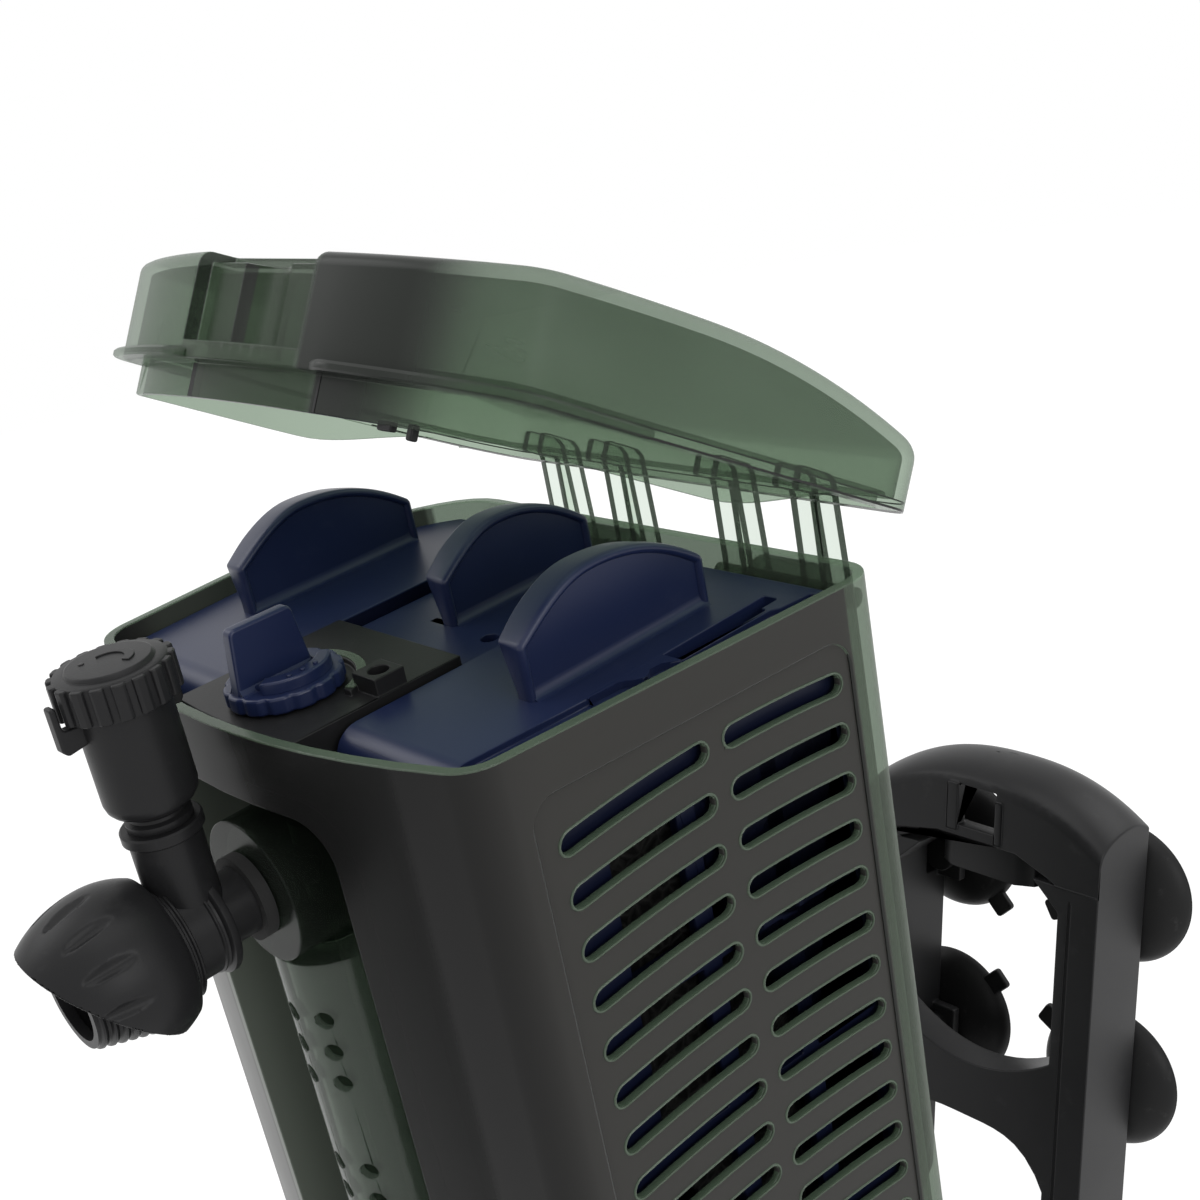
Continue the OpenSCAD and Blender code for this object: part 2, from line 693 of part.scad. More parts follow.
// Air valve on the stem
valve_neck_r = 4.3;
cap_z0 = cap_top - cap_h;
lug_t = 1.2;
lug_reach = valve_r + 3.8;
lug_back = valve_r + 1.8;
lug_z = cap_z0 - 4.4;
module air_valve_body() {
    color([0.07, 0.07, 0.075]) translate([0, stem_y, 0]) difference() {
        union() {
            translate([0, 0, outlet_z + 9]) cylinder(r = valve_neck_r - fit / 2, h = valve_z0 - outlet_z - 8);
            translate([0, 0, stem_top]) cylinder(r = valve_neck_r + 1, h = valve_z0 - stem_top + 1);
            translate([0, 0, valve_z0]) cylinder(r1 = valve_r - 2.5, r2 = valve_r, h = 2.5);
            translate([0, 0, valve_z0 + 2.5]) cylinder(r = valve_r, h = cap_z0 + 4 - valve_z0 - 2.5);
            span([-lug_t, -lug_reach, lug_z], [lug_t, lug_back, cap_z0 - 0.5]);
            span([-lug_t, -lug_reach, lug_z], [lug_t, -cap_r - 0.5, lug_z + 8]);
        }
        translate([0, 0, outlet_z + 8]) cylinder(r = 1.6, h = 60);
        translate([0, 0, cap_z0 - 4]) cylinder(r = 3.6, h = 12);
    }
}

flute_count = 18;
module air_valve_cap() {
    color([0.08, 0.08, 0.085]) translate([0, stem_y, 0]) difference() {
        union() {
            translate([0, 0, cap_z0]) cylinder(r = cap_r, h = cap_h - 0.8);
            translate([0, 0, cap_top - 0.9]) cylinder(r = cap_r - 3, h = 0.9);
        }
        translate([0, 0, cap_z0 - 1]) cylinder(r = valve_r + run, h = 5 + fit);
        for (i = [0 : flute_count - 1]) rotate([0, 0, i * 360 / flute_count])
            translate([cap_r + 0.3, 0, cap_z0 - 1]) cylinder(r = 0.8, h = cap_h + 2, $fn = 16);
    }
}

module air_needle() {
    color([0.75, 0.75, 0.72]) translate([0, stem_y, 0]) {
        translate([0, 0, cap_z0 - 3.6]) cylinder(r = 3.4, h = 7.9);
        translate([0, 0, cap_z0 - 12]) cylinder(r = 1.4, h = 9);
    }
}

// D shaped handle in the YZ plane
function handle_points(y0, y1, z0, z1, in) = let (h = z1 - z0 - in, l = y1 - y0) concat(
    [[y0 + in, z0], [y0 + in, z0 + 0.55 * h]],
    [for (i = [1 : 14]) let (t = i / 14) [y0 + in + (l - 2 * in) * t,
        z0 + h * (0.55 + 0.45 * sin(90 * min(t / 0.42, 1)) - 0.5 * pow(max(t - 0.42, 0) / 0.58, 2.2))]],
    [[y1 - in, z0]]);

handle_t = 2.4;
handle_lip = 5;
side_handle = [y_front + 33.5, y_front + 74.5];
fin_shift = 2.5;
module handle(x, y0, y1, z0, z1) {
    sheet_x(x - handle_t / 2, x + handle_t / 2, handle_points(y0, y1, z0 - 1, z1, 0));
    difference() {
        sheet_x(x - handle_lip, x, handle_points(y0, y1, z0 - 1, z1, 0));
        sheet_x(x - handle_lip - 1, x - 0.1, handle_points(y0, y1, z0 - 2, z1, 1.6));
    }
}

cage_z0 = cell_z + fit;
niche_clear = wall + fit;

// Ring the lid's skirt takes up inside the rim
module skirt_room() {
    z = casing_h - skirt_h - 0.6;
    difference() {
        prism(z, casing_h + 1, 0);
        prism(z - 1, casing_h + 2, skirt_in + skirt_t + fit);
    }
}

// Cartridge room on one side, drawn in by e, kept clear of the niche by g
module cartridge(side, z0, z1, e, g) {
    difference() {
        intersection() {
            prism(z0, z1, side_in + e);
            if (side > 0) span([bay_w + cage_gap + e, cage_y0 + e, z0 - 1], [90, cage_y1 - e, z1 + 1]);
            else span([-90, cage_y0 + e, z0 - 1], [-bay_w - cage_gap - e, cage_y1 - e, z1 + 1]);
        }
        span([-niche_w - g, y_front, z0 - 2], [niche_w + g, niche_back + g, niche_z1 + g]);
    }
}

// Cage with windows in its walls, a plate on top and its handle
module cage(side) {
    top = side_plate_z;
    difference() {
        cartridge(side, cage_z0, top, 0, niche_clear);
        cartridge(side, cage_z0 + cage_t, top - plate_t, cage_t, niche_clear + cage_t);
        for (z = [cage_z0 + 8 : 34 : top - plate_t - 30]) {
            for (x = [niche_w + 6, niche_w + 15])
                span([side > 0 ? x : -x - 6.5, y_front, z], [side > 0 ? x + 6.5 : -x, y_back, z + 28]);
            for (y = [niche_back + 7 : 17.5 : cage_y1 - 14]) span([-90, y, z], [90, y + 13.5, z + 28]);
        }
        skirt_room();
        if (side > 0) span([fin_x + 9, y_front + 39, top - plate_t - 1], [fin_x + 12, y_back - 12, top + 1]);
    }
    handle(side > 0 ? fin_x : -fin_x - fin_shift, side_handle[0], side_handle[1], top, top + fin_h);
}
module foam_cage_right() { color([0.07, 0.09, 0.25]) cage(1); }
module foam_cage_left() { color([0.07, 0.09, 0.25]) cage(-1); }

pad_gap = 0.4;
module foam_pad(side) {
    e = cage_t + pad_gap;
    color([0.06, 0.06, 0.06]) cartridge(side, cage_z0 + e, side_plate_z - plate_t - pad_gap, e, niche_clear + e);
}
module foam_pad_right() { foam_pad(1); }
module foam_pad_left() { foam_pad(-1); }

// Middle basket with the ceramic rings
basket_y0 = column_y1 + cage_gap;
basket_y1 = y_back - side_in;
basket_half = bay_w - cage_gap / 2;
mid_handle = [y_front + 50, y_back - 6.5];
module media_basket() {
    top = mid_plate_z;
    color([0.07, 0.09, 0.25]) {
        difference() {
            span([-basket_half, basket_y0, cage_z0], [basket_half, basket_y1, top]);
            skirt_room();
            span([-basket_half + cage_t, basket_y0 + cage_t, cage_z0 + cage_t],
                [basket_half - cage_t, basket_y1 - cage_t, top - plate_t]);
            for (z = [cage_z0 + 8 : 9 : top - plate_t - 12], y = [basket_y0 + 6 : 15 : basket_y1 - 15])
                span([-bay_w - 1, y, z], [bay_w + 1, y + 11, z + 4]);
            for (y = [y_front + 50, y_front + 58])
                translate([11, y, top - plate_t - 1]) cylinder(r = 1.6, h = plate_t + 2);
        }
        handle(-1, mid_handle[0], mid_handle[1], top, top + fin_h - 1);
    }
}

ring_out = 7;
ring_h = 14;
ring_rows = 12;
ring_x = ring_out + 0.3;
module media_rings() {
    color([0.86, 0.84, 0.78]) for (k = [0 : ring_rows - 1], x = [-ring_x, ring_x], y = [0, 1, 2])
        translate([x, basket_y0 + cage_t + 0.6 + ring_out + y * 14.6, cage_z0 + cage_t + k * (ring_h + 0.4)])
            difference() {
                cylinder(r = ring_out, h = ring_h, $fn = 24);
                translate([0, 0, -1]) cylinder(r = 3.4, h = ring_h + 2, $fn = 24);
            }
}

// Pump in the tray, its rotor along Y
volute_r = impeller_r + 2;
volute_y0 = pump_y - 6.5;
volute_y1 = pump_y + 5.5;
can_r = magnet_r + 1;
can_len = 33;
can_y1 = volute_y1 + can_len;
pump_floor = tray_z0 + wall;
module pump_housing() {
    color([0.1, 0.1, 0.105]) difference() {
        union() {
            rod_y(0, pump_z, volute_r + wall, volute_y0, volute_y1 + wall);
            rod_y(0, pump_z, can_r + 1.4, volute_y1, can_y1 + 1.6);
            translate([0, pump_y, pump_z]) cylinder(r = duct_r + wall - 0.6, h = tray_h - pump_z);
            for (s = [-1, 1]) span([s * 9 - 2, volute_y0, pump_floor], [s * 9 + 2, volute_y1, pump_z]);
        }
        rod_y(0, pump_z, volute_r, volute_y0 - 1, volute_y1);
        rod_y(0, pump_z, can_r, volute_y1 - 1, can_y1);
        translate([0, pump_y, pump_z]) cylinder(r = duct_r, h = tray_h - pump_z + 1);
    }
}

module pump_stator() {
    y0 = volute_y1 + wall + fit;
    color([0.35, 0.2, 0.12]) difference() {
        union() {
            span([-16, y0, pump_z - 14], [16, can_y1 - 4, pump_z + 14]);
            for (s = [-1, 1]) span([s * 12 - 2, y0 + 4, pump_floor], [s * 12 + 2, y0 + 12, pump_z - 13]);
        }
        rod_y(0, pump_z, can_r + 1.4 + fit, y0 - 1, can_y1);
    }
}

rotor_y0 = volute_y1 + 1.5;
rotor_y1 = can_y1 - 4.5;
module rotor_magnet() {
    color([0.25, 0.25, 0.27]) difference() {
        rod_y(0, pump_z, magnet_r, rotor_y0, rotor_y1);
        rod_y(0, pump_z, shaft_r + run, rotor_y0 - 1, rotor_y1 + 1);
    }
}

module impeller() {
    color([0.85, 0.85, 0.82]) difference() {
        union() {
            rod_y(0, pump_z, 4, volute_y0 + 2, rotor_y0);
            rod_y(0, pump_z, impeller_r, volute_y1 - 2.2, volute_y1 - 1);
            translate([0, 0, pump_z]) for (i = [0 : blade_count - 1])
                rotate([0, i * 360 / blade_count, 0])
                    span([3.4, volute_y0 + 2, -0.7], [impeller_r - 0.2, volute_y1 - 2, 0.7]);
        }
        rod_y(0, pump_z, shaft_r + run, volute_y0, rotor_y0 + 1);
    }
}

shaft_y0 = volute_y0 - 0.6;
shaft_y1 = can_y1 - 0.6;
module rotor_shaft() {
    color([0.93, 0.93, 0.9]) rod_y(0, pump_z, shaft_r, shaft_y0, shaft_y1);
}

bush_len = 3;
module shaft_bushes() {
    color([0.05, 0.05, 0.05]) difference() {
        rod_y(0, pump_z, 4.2, can_y1 - bush_len - 0.3, can_y1 - 0.02);
        rod_y(0, pump_z, shaft_r, can_y1 - bush_len - 1, shaft_y1);
    }
    color([0.05, 0.05, 0.05]) difference() {
        rod_y(0, pump_z, 3, shaft_y0, shaft_y0 + 2);
        rod_y(0, pump_z, shaft_r, shaft_y0 - 1, shaft_y0 + 3);
    }
}

inlet_r = 9;
module impeller_cover() {
    y1 = volute_y0 - 0.02;
    color([0.12, 0.12, 0.13]) {
        difference() {
            rod_y(0, pump_z, volute_r + wall, y1 - 2.6, y1);
            rod_y(0, pump_z, inlet_r, y1 - 4, y1 + 1);
        }
        difference() {
            union() {
                rod_y(0, pump_z, 4.6, y1 - 2.6, y1 + 1);
                for (a = [0, 60, 120]) translate([0, 0, pump_z]) rotate([0, a, 0])
                    span([-inlet_r - 0.5, y1 - 2.4, -0.9], [inlet_r + 0.5, y1 - 0.9, 0.9]);
            }
            rod_y(0, pump_z, 3, shaft_y0, y1 + 4);
        }
    }
}

module cable_gland() {
    color([0.05, 0.05, 0.05]) difference() {
        union() {
            rod_y(gland_x, pump_z, gland_r, y_back - wall - 3, y_back + 3);
            rod_y(gland_x, pump_z, gland_r + 1.6, y_back + 0.02, y_back + 2.2);
            translate([gland_x, y_back + 3, pump_z]) rotate([-90, 0, 0])
                cylinder(r1 = gland_r - 0.5, r2 = gland_bore_r + 1, h = 6);
        }
        rod_y(gland_x, pump_z, gland_bore_r, y_back - wall - 4, y_back + 10);
    }
}

// Places what is drawn about the pivot, upright, at the bracket's rest
module at_bracket() { translate([0, pivot_y, pivot_z]) rotate([-bracket_lean, 0, 0]) children(); }

hook_half = 18;
pivot_r = 2;
hook_knuckle_r = 4.4;
module bracket_hook() {
    color([0.07, 0.07, 0.075]) translate([0, pivot_y, pivot_z]) difference() {
        union() {
            rod_x(0, 0, hook_knuckle_r, -hook_half, hook_half);
            span([-hook_half, -pivot_in + 0.2, -hook_knuckle_r], [hook_half, 0, hook_knuckle_r]);
            span([-hook_slot_w + 0.6, -pivot_in - 4.6, -3.6], [hook_slot_w - 0.6, -pivot_in + 1, 0.4]);
            span([-hook_slot_w + 0.6, -pivot_in - 4.6, -3.6], [hook_slot_w - 0.6, -pivot_in - 3, 3.6]);
        }
        rod_x(0, 0, pivot_r, -hook_half - 1, hook_half + 1);
    }
}

pin_reach = hook_half + 6;
module bracket_pin() {
    color([0.55, 0.56, 0.58]) translate([0, pivot_y, pivot_z]) rod_x(0, 0, pivot_r, -pin_reach, pin_reach);
}

// Arched frame with its two rails, cross piece and latch window
rail_in = bracket_w - rail_w;
rail_top = arch_h - 16;
arch_rise = 6;
arch_band = 21;
cross_z = cup_low - 2;
latch_r = 5.6;
plate_lap = 3.5;    // how far a cup's plate runs into its rail
function arch_at(x) = arch_h - arch_rise * pow(x / (bracket_w - 6), 2);
module bracket_frame() {
    color([0.07, 0.07, 0.075]) at_bracket() difference() {
        union() {
            both_sides() sheet_x(rail_in, bracket_w, concat(
                arc([0, 0], pivot_in, 180, 300, 8),
                [[rail_y1, 12], [rail_y1, rail_top + 2], [rail_y1 - 2, rail_top + 3],
                 [2, rail_top + 1], [-pivot_in, rail_top - 8]]));
            translate([0, rail_y1, 0]) rotate([90, 0, 0]) linear_extrude(rail_d) polygon(concat(
                [for (i = [-10 : 10]) let (x = i / 10 * (bracket_w - 6)) [x, arch_at(x)]],
                [[bracket_w, rail_top], [bracket_w, rail_top - 8], [rail_in + 1, rail_top - 18],
                 [12, arch_h - arch_band], [-12, arch_h - arch_band],
                 [-rail_in - 1, rail_top - 18], [-bracket_w, rail_top - 8], [-bracket_w, rail_top]]));
            translate([0, 2, 0]) rotate([90, 0, 0]) linear_extrude(2 + pivot_in) polygon(concat(
                [for (i = [-8 : 8]) let (x = i / 8 * (rail_in + 1)) [x, cross_z + 8 + 9 * pow(x / rail_in, 2)]],
                [for (i = [8 : -1 : -8]) let (x = i / 8 * (rail_in + 1)) [x, cross_z - 8 - 12 * pow(x / rail_in, 4)]]));
            both_sides() for (z = [cup_low, cup_low + cup_rise])
                span([cup_x - 8, stud_plate_y, z - 7], [rail_in + plate_lap, stud_plate_y + 3, z + 7]);
        }
        translate([0, rail_y1 + 1, 0]) rotate([90, 0, 0]) linear_extrude(rail_d - 2.4) polygon(
            [[-rail_in - 2, rail_top - 9], [rail_in + 2, rail_top - 9], [rail_in, rail_top + 5],
             [0, arch_h - 3.5], [-rail_in, rail_top + 5]]);
        span([-latch_r, -pivot_in - 1, latch_z - pivot_z - latch_r],
            [latch_r, -pivot_in + 8, latch_z - pivot_z + latch_r]);
        both_sides() span([rail_in - 1, -pivot_in + 3, 20], [rail_in + 3, rail_y1 - 4, cross_z - 26]);
        both_sides() for (z = [cup_low, cup_low + cup_rise])
{
                rod_y(cup_x - 2, z, cup_neck_r + fit, stud_plate_y - 1, stud_plate_y + 5);
                rod_y(cup_x - 2, z, cup_neck_r + 2, stud_plate_y - 5, stud_plate_y);
            }
        rod_x(0, 0, pivot_r + run, -bracket_w - 1, bracket_w + 1);
    }
    color([0.07, 0.07, 0.075]) at_bracket() both_sides() difference() {
        rod_x(0, 0, 5, hook_half + 0.4, rail_in + 1);
        rod_x(0, 0, pivot_r + run, hook_half - 1, bracket_w);
    }
}

// One suction cup, its neck through the frame's plate
cup_neck_r = 3.5;
stud_plate_y = rail_y1 - 4;
cup_y0 = rail_y1 + 0.4;
cup_d = 8.2;
module suction_cup(side, z) {
    color([0.06, 0.06, 0.06]) at_bracket() {
        translate([side * (cup_x - 2), 0, z]) rotate([-90, 0, 0]) {
            translate([0, 0, stud_plate_y - 1.6]) cylinder(r = cup_neck_r, h = cup_y0 + 2 - stud_plate_y + 1.6);
            translate([0, 0, stud_plate_y - 2.6]) cylinder(r = cup_neck_r + 1.2, h = 2.4);
        }
        translate([side * cup_x, 0, z]) rotate([-90, 0, 0]) rotate_extrude() polygon(concat(
            [[0, cup_y0]],
            [for (i = [1 : 8]) let (a = i * 90 / 8) [cup_r * sin(a), cup_y0 + cup_d * (1 - cos(a))]],
            [for (i = [8 : -1 : 0]) let (a = i * 90 / 8)
                [(cup_r - 1.6) * sin(a), cup_y0 + 1.8 + (cup_d - 1.8) * (1 - cos(a))]]));
        toward = z > cup_low + 1 ? -1 : 1;
        translate([side * cup_x, cup_y0 + cup_d - 2, z]) rotate([0, toward * side * 45, 0])
            span([side > 0 ? -cup_r - 4.5 : cup_r - 2, -0.6, -3], [side > 0 ? -cup_r + 2 : cup_r + 4.5, 1.6, 3]);
    }
}
module suction_cup_upper_left() { suction_cup(-1, cup_low + cup_rise); }
module suction_cup_upper_right() { suction_cup(1, cup_low + cup_rise); }
module suction_cup_lower_left() { suction_cup(-1, cup_low); }
module suction_cup_lower_right() { suction_cup(1, cup_low); }

casing();
base_tray();
rubber_feet();
lid();
hinge_pins();
flow_column();
flow_dial();
valve_rotor();
outlet_drum();
spray_column();
spray_plug();
nozzle_tee();
tee_seal();
nozzle_head();
nozzle_insert();
air_valve_body();
air_valve_cap();
air_needle();
foam_cage_left();
foam_cage_right();
foam_pad_left();
foam_pad_right();
media_basket();
media_rings();
pump_housing();
pump_stator();
rotor_magnet();
impeller();
rotor_shaft();
shaft_bushes();
impeller_cover();
cable_gland();
bracket_hook();
bracket_pin();
bracket_frame();
suction_cup_upper_left();
suction_cup_upper_right();
suction_cup_lower_left();
suction_cup_lower_right();
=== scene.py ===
import json
import math

import bmesh
import bpy
import numpy as np
from mathutils import Matrix, Vector, noise

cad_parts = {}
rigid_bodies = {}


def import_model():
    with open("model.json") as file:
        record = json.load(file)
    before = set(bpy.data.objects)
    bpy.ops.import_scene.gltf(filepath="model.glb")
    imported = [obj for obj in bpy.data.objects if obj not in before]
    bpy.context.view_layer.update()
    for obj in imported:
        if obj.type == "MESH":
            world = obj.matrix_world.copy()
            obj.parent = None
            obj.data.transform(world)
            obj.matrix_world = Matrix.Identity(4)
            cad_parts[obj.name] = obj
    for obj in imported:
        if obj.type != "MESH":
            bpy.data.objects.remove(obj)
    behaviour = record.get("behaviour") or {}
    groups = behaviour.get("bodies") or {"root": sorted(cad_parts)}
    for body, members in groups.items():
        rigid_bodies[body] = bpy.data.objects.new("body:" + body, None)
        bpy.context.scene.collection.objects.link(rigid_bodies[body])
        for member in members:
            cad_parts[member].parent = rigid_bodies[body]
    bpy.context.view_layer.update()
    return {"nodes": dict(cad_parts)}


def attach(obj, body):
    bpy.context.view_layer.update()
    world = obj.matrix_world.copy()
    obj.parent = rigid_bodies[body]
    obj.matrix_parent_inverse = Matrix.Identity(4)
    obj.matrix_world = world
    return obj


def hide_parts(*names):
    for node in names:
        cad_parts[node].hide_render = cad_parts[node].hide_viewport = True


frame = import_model()
mm = 0.001
print("frame loaded with", len(frame["nodes"]), "nodes")


class Signal:  # one shader socket that adds and multiplies like a number
    def __init__(self, board, socket):
        self.board, self.socket = board, socket

    def join(self, operation, first, second=None, clamp=False):
        sockets = {0: first} if second is None else {0: first, 1: second}
        return self.board.add("ShaderNodeMath", {"operation": operation, "use_clamp": clamp}, sockets)

    def __add__(self, other):
        return self.join("ADD", self, other)

    def __radd__(self, other):
        return self.join("ADD", other, self)

    def __sub__(self, other):
        return self.join("SUBTRACT", self, other)

    def __rsub__(self, other):
        return self.join("SUBTRACT", other, self)

    def __mul__(self, other):
        return self.join("MULTIPLY", self, other)

    def __rmul__(self, other):
        return self.join("MULTIPLY", other, self)

    def __pow__(self, other):
        return self.join("POWER", self, other)

    def held(self):  # kept between 0 and 1
        return self.join("ADD", self, 0.0, clamp=True)


class Board:  # the nodes of one material, or of the world
    def __init__(self, name, tree=None, end="ShaderNodeOutputMaterial"):
        if tree is None:
            self.material = bpy.data.materials.new(name)
            self.material.use_nodes = True
            tree = self.material.node_tree
        else:
            self.material = None
        self.tree = tree
        self.tree.nodes.clear()
        self.out = self.tree.nodes.new(end)
        self.place = self.add("ShaderNodeTexCoord", output="Object")

    def add(self, kind, settings=None, sockets=None, output=0):
        node = self.tree.nodes.new(kind)
        for key, value in (settings or {}).items():
            setattr(node, key, value)
        for key, value in (sockets or {}).items():
            if isinstance(value, Signal):
                self.tree.links.new(value.socket, node.inputs[key])
            else:
                node.inputs[key].default_value = value
        return Signal(self, node.outputs[output])

    def noise(self, scale, detail=2.0, rough=0.5, stretch=None):
        place = self.place
        if stretch:
            place = self.add("ShaderNodeMapping", {}, {"Vector": place, "Scale": stretch})
        return self.add("ShaderNodeTexNoise", {}, {"Vector": place, "Scale": scale, "Detail": detail,
                                                   "Roughness": rough})

    def blend(self, share, first, second):
        return self.add("ShaderNodeMix", {"data_type": "RGBA"}, {0: share, 6: first, 7: second}, output=2)

    def bump(self, height, strength, distance):
        return self.add("ShaderNodeBump", {}, {"Height": height, "Strength": strength, "Distance": distance})

    def surface(self, shader):
        self.tree.links.new(shader.socket, self.out.inputs["Surface"])
        return self.material


def rgb(red, green, blue):
    return (red, green, blue, 1.0)


def mouldedPlastic(name, look):  # spark-eroded grain, soft mottling and a little dust
    b = Board(name)
    mottle = b.noise(look["mottle"], 3.0)
    grain = b.noise(look["grain"], 2.0, 0.6)
    dust = b.noise(look["mottle"] * 4, 5.0, 0.7)
    tone = b.blend(mottle, look["colour"], look["worn"])
    tone = b.blend(((dust - 0.6) * look["dust"]).held(), tone, rgb(0.5, 0.5, 0.5))
    rough = (mottle - 0.5) * look["roughSpread"] + (grain - 0.5) * 0.08 + look["rough"]
    shader = b.add("ShaderNodeBsdfPrincipled", {}, {
        "Base Color": tone, "Roughness": rough.held(), "IOR": 1.5, "Specular IOR Level": look["gloss"],
        "Normal": b.bump(grain + mottle * 0.6, look["relief"], 0.0001)})
    return b.surface(shader)


def smokedPlastic(name, look):  # the clear share lets what is behind through, tinted
    b = Board(name)
    scuff = b.noise(look["scuff"], 2.0, 0.5)
    flow = b.noise(14, 2.0, 0.5, stretch=(1.0, 1.0, 0.25))
    facing = b.add("ShaderNodeLayerWeight", {}, {"Blend": 0.5}, output="Facing")
    share = facing ** look["falloff"] * look["rise"] + (flow - 0.5) * 0.06 + look["haze"]
    tone = b.blend(flow, look["colour"], look["deep"])
    for band in look["bands"]:  # each band makes the wall less clear and recolours it within its limits; the casing's dark front band and the lid's front bands are painted light, noted where they are listed
        mask = bandMask(b, band)
        share = share + mask * band["more"]
        tone = b.blend(mask, tone, band["colour"])
    shader = b.add("ShaderNodeBsdfPrincipled", {}, {
        "Base Color": tone, "Roughness": ((scuff - 0.5) * 0.06 + look["rough"]).held(), "IOR": 1.5,
        "Specular IOR Level": look["gloss"], "Normal": b.bump(scuff, 0.012, 0.0001)})
    clear = b.add("ShaderNodeBsdfTransparent", {}, {"Color": look["tint"]})
    return b.surface(b.add("ShaderNodeMixShader", {}, {0: share.held(), 1: clear, 2: shader}))


def bandMask(b, band):  # 1 inside the band's limits along its lines, softly 0 outside
    parts = [b.add("ShaderNodeSeparateXYZ", {}, {"Vector": b.place}, output=k) for k in ("X", "Y", "Z")]
    mask = None
    for line, low, high in band["limits"]:
        value = parts[0] * line[0] + parts[1] * line[1] + parts[2] * line[2] + line[3]
        step = b.add("ShaderNodeMapRange", {"interpolation_type": "SMOOTHSTEP"},
                     {"Value": value, "From Min": low, "From Max": high})
        mask = step if mask is None else mask * step
    return mask


def wallBand(more, colour, *limits):  # a limit: a line across the wall, where the band starts and is full
    return {"limits": limits, "more": more, "colour": rgb(*colour)}


rightward, leftward, forward, backward = (1, 0, 0, 0), (-1, 0, 0, 0), (0, -1, 0, 0), (0, 1, 0, 0)
lidLean = math.radians(30.5)
lidDepth = (0.0, -math.cos(lidLean), math.sin(lidLean), 0.06 * math.cos(lidLean) - 0.2553 * math.sin(lidLean) - 0.06)
smokedLook = {
    "shell": {"colour": rgb(0.046, 0.049, 0.045), "deep": rgb(0.034, 0.036, 0.033), "tint": rgb(0.62, 0.70, 0.62),
              "haze": 0.34, "rise": 0.4, "falloff": 2.5, "rough": 0.34, "gloss": 0.10, "scuff": 60,
              "bands": [wallBand(0.50, (0.046, 0.045, 0.042), (rightward, 0.040, 0.046), (forward, -0.0375, -0.0366)),
                        wallBand(0.50, (0.046, 0.045, 0.042), (leftward, 0.040, 0.046), (forward, -0.0375, -0.0366)),
                        wallBand(0.10, (0.13, 0.155, 0.125), (backward, 0.0366, 0.0375)),
                        # painted shade: the casing's front is darker and less clear
                        wallBand(0.34, (0.013, 0.013, 0.013), (forward, 0.022, 0.040)),
                        # the painted front shade is lighter at the front's left end
                        wallBand(0.10, (0.085, 0.087, 0.083), (forward, 0.036, 0.040), (leftward, 0.028, 0.031)),
                        wallBand(0.45, (0.115, 0.13, 0.11), (backward, -0.0452, -0.0444), (forward, 0.0150, 0.0180),
                                 (rightward, -0.0290, -0.0284), (leftward, 0.0250, 0.0256))]},
    "lid": {"colour": rgb(0.10, 0.115, 0.10), "deep": rgb(0.07, 0.085, 0.07), "tint": rgb(0.74, 0.82, 0.735),
            "haze": 0.24, "rise": 0.5, "falloff": 2.2, "rough": 0.26, "gloss": 0.14, "scuff": 60,
            # painted dark reflection: the lid's front right is darker and less clear
            "bands": [wallBand(0.78, (0.020, 0.023, 0.020), (rightward, 0.0165, 0.0185), (leftward, -0.056, -0.036),
                               (lidDepth, 0.036, 0.043)),
                      # painted shade in the notch at the lid's front: darker green and less clear
                      wallBand(0.42, (0.030, 0.048, 0.028), (rightward, -0.0172, -0.0165), (leftward, -0.0175, -0.0165),
                               (lidDepth, 0.036, 0.039))]},
    "tube": {"colour": rgb(0.12, 0.14, 0.12), "deep": rgb(0.08, 0.10, 0.08), "tint": rgb(0.78, 0.86, 0.78),
             "haze": 0.30, "rise": 0.5, "falloff": 2.2, "rough": 0.16, "gloss": 0.8, "scuff": 90, "bands": []},
    "clear": {"colour": rgb(0.10, 0.12, 0.10), "deep": rgb(0.07, 0.09, 0.07), "tint": rgb(0.90, 0.94, 0.90),
              "haze": 0.05, "rise": 0.3, "falloff": 2.4, "rough": 0.2, "gloss": 0.6, "scuff": 90, "bands": []},
    "drum": {"colour": rgb(0.022, 0.027, 0.022), "deep": rgb(0.012, 0.016, 0.012), "tint": rgb(0.60, 0.70, 0.60),
             "haze": 0.50, "rise": 0.4, "falloff": 2.2, "rough": 0.24, "gloss": 0.16, "scuff": 90, "bands": []},
    "rim": {"colour": rgb(0.13, 0.175, 0.125), "deep": rgb(0.09, 0.13, 0.09), "tint": rgb(0.60, 0.74, 0.60),
            "haze": 0.55, "rise": 0.2, "falloff": 2.0, "rough": 0.22, "gloss": 0.5, "scuff": 90, "bands": []},
    "edge": {"colour": rgb(0.010, 0.012, 0.010), "deep": rgb(0.007, 0.008, 0.007), "tint": rgb(0.35, 0.42, 0.35),
             "haze": 0.80, "rise": 0.1, "falloff": 2.0, "rough": 0.2, "gloss": 0.4, "scuff": 90, "bands": []},
}
smokedShell = smokedPlastic("smokedShell", smokedLook["shell"])
smokedLid = smokedPlastic("smokedLid", smokedLook["lid"])
smokedDrum = smokedPlastic("smokedDrum", smokedLook["drum"])
smokedRim = smokedPlastic("smokedRim", smokedLook["rim"])
smokedEdge = smokedPlastic("smokedEdge", smokedLook["edge"])
smokedTube = smokedPlastic("smokedTube", smokedLook["tube"])
smokedClear = smokedPlastic("smokedClear", smokedLook["clear"])

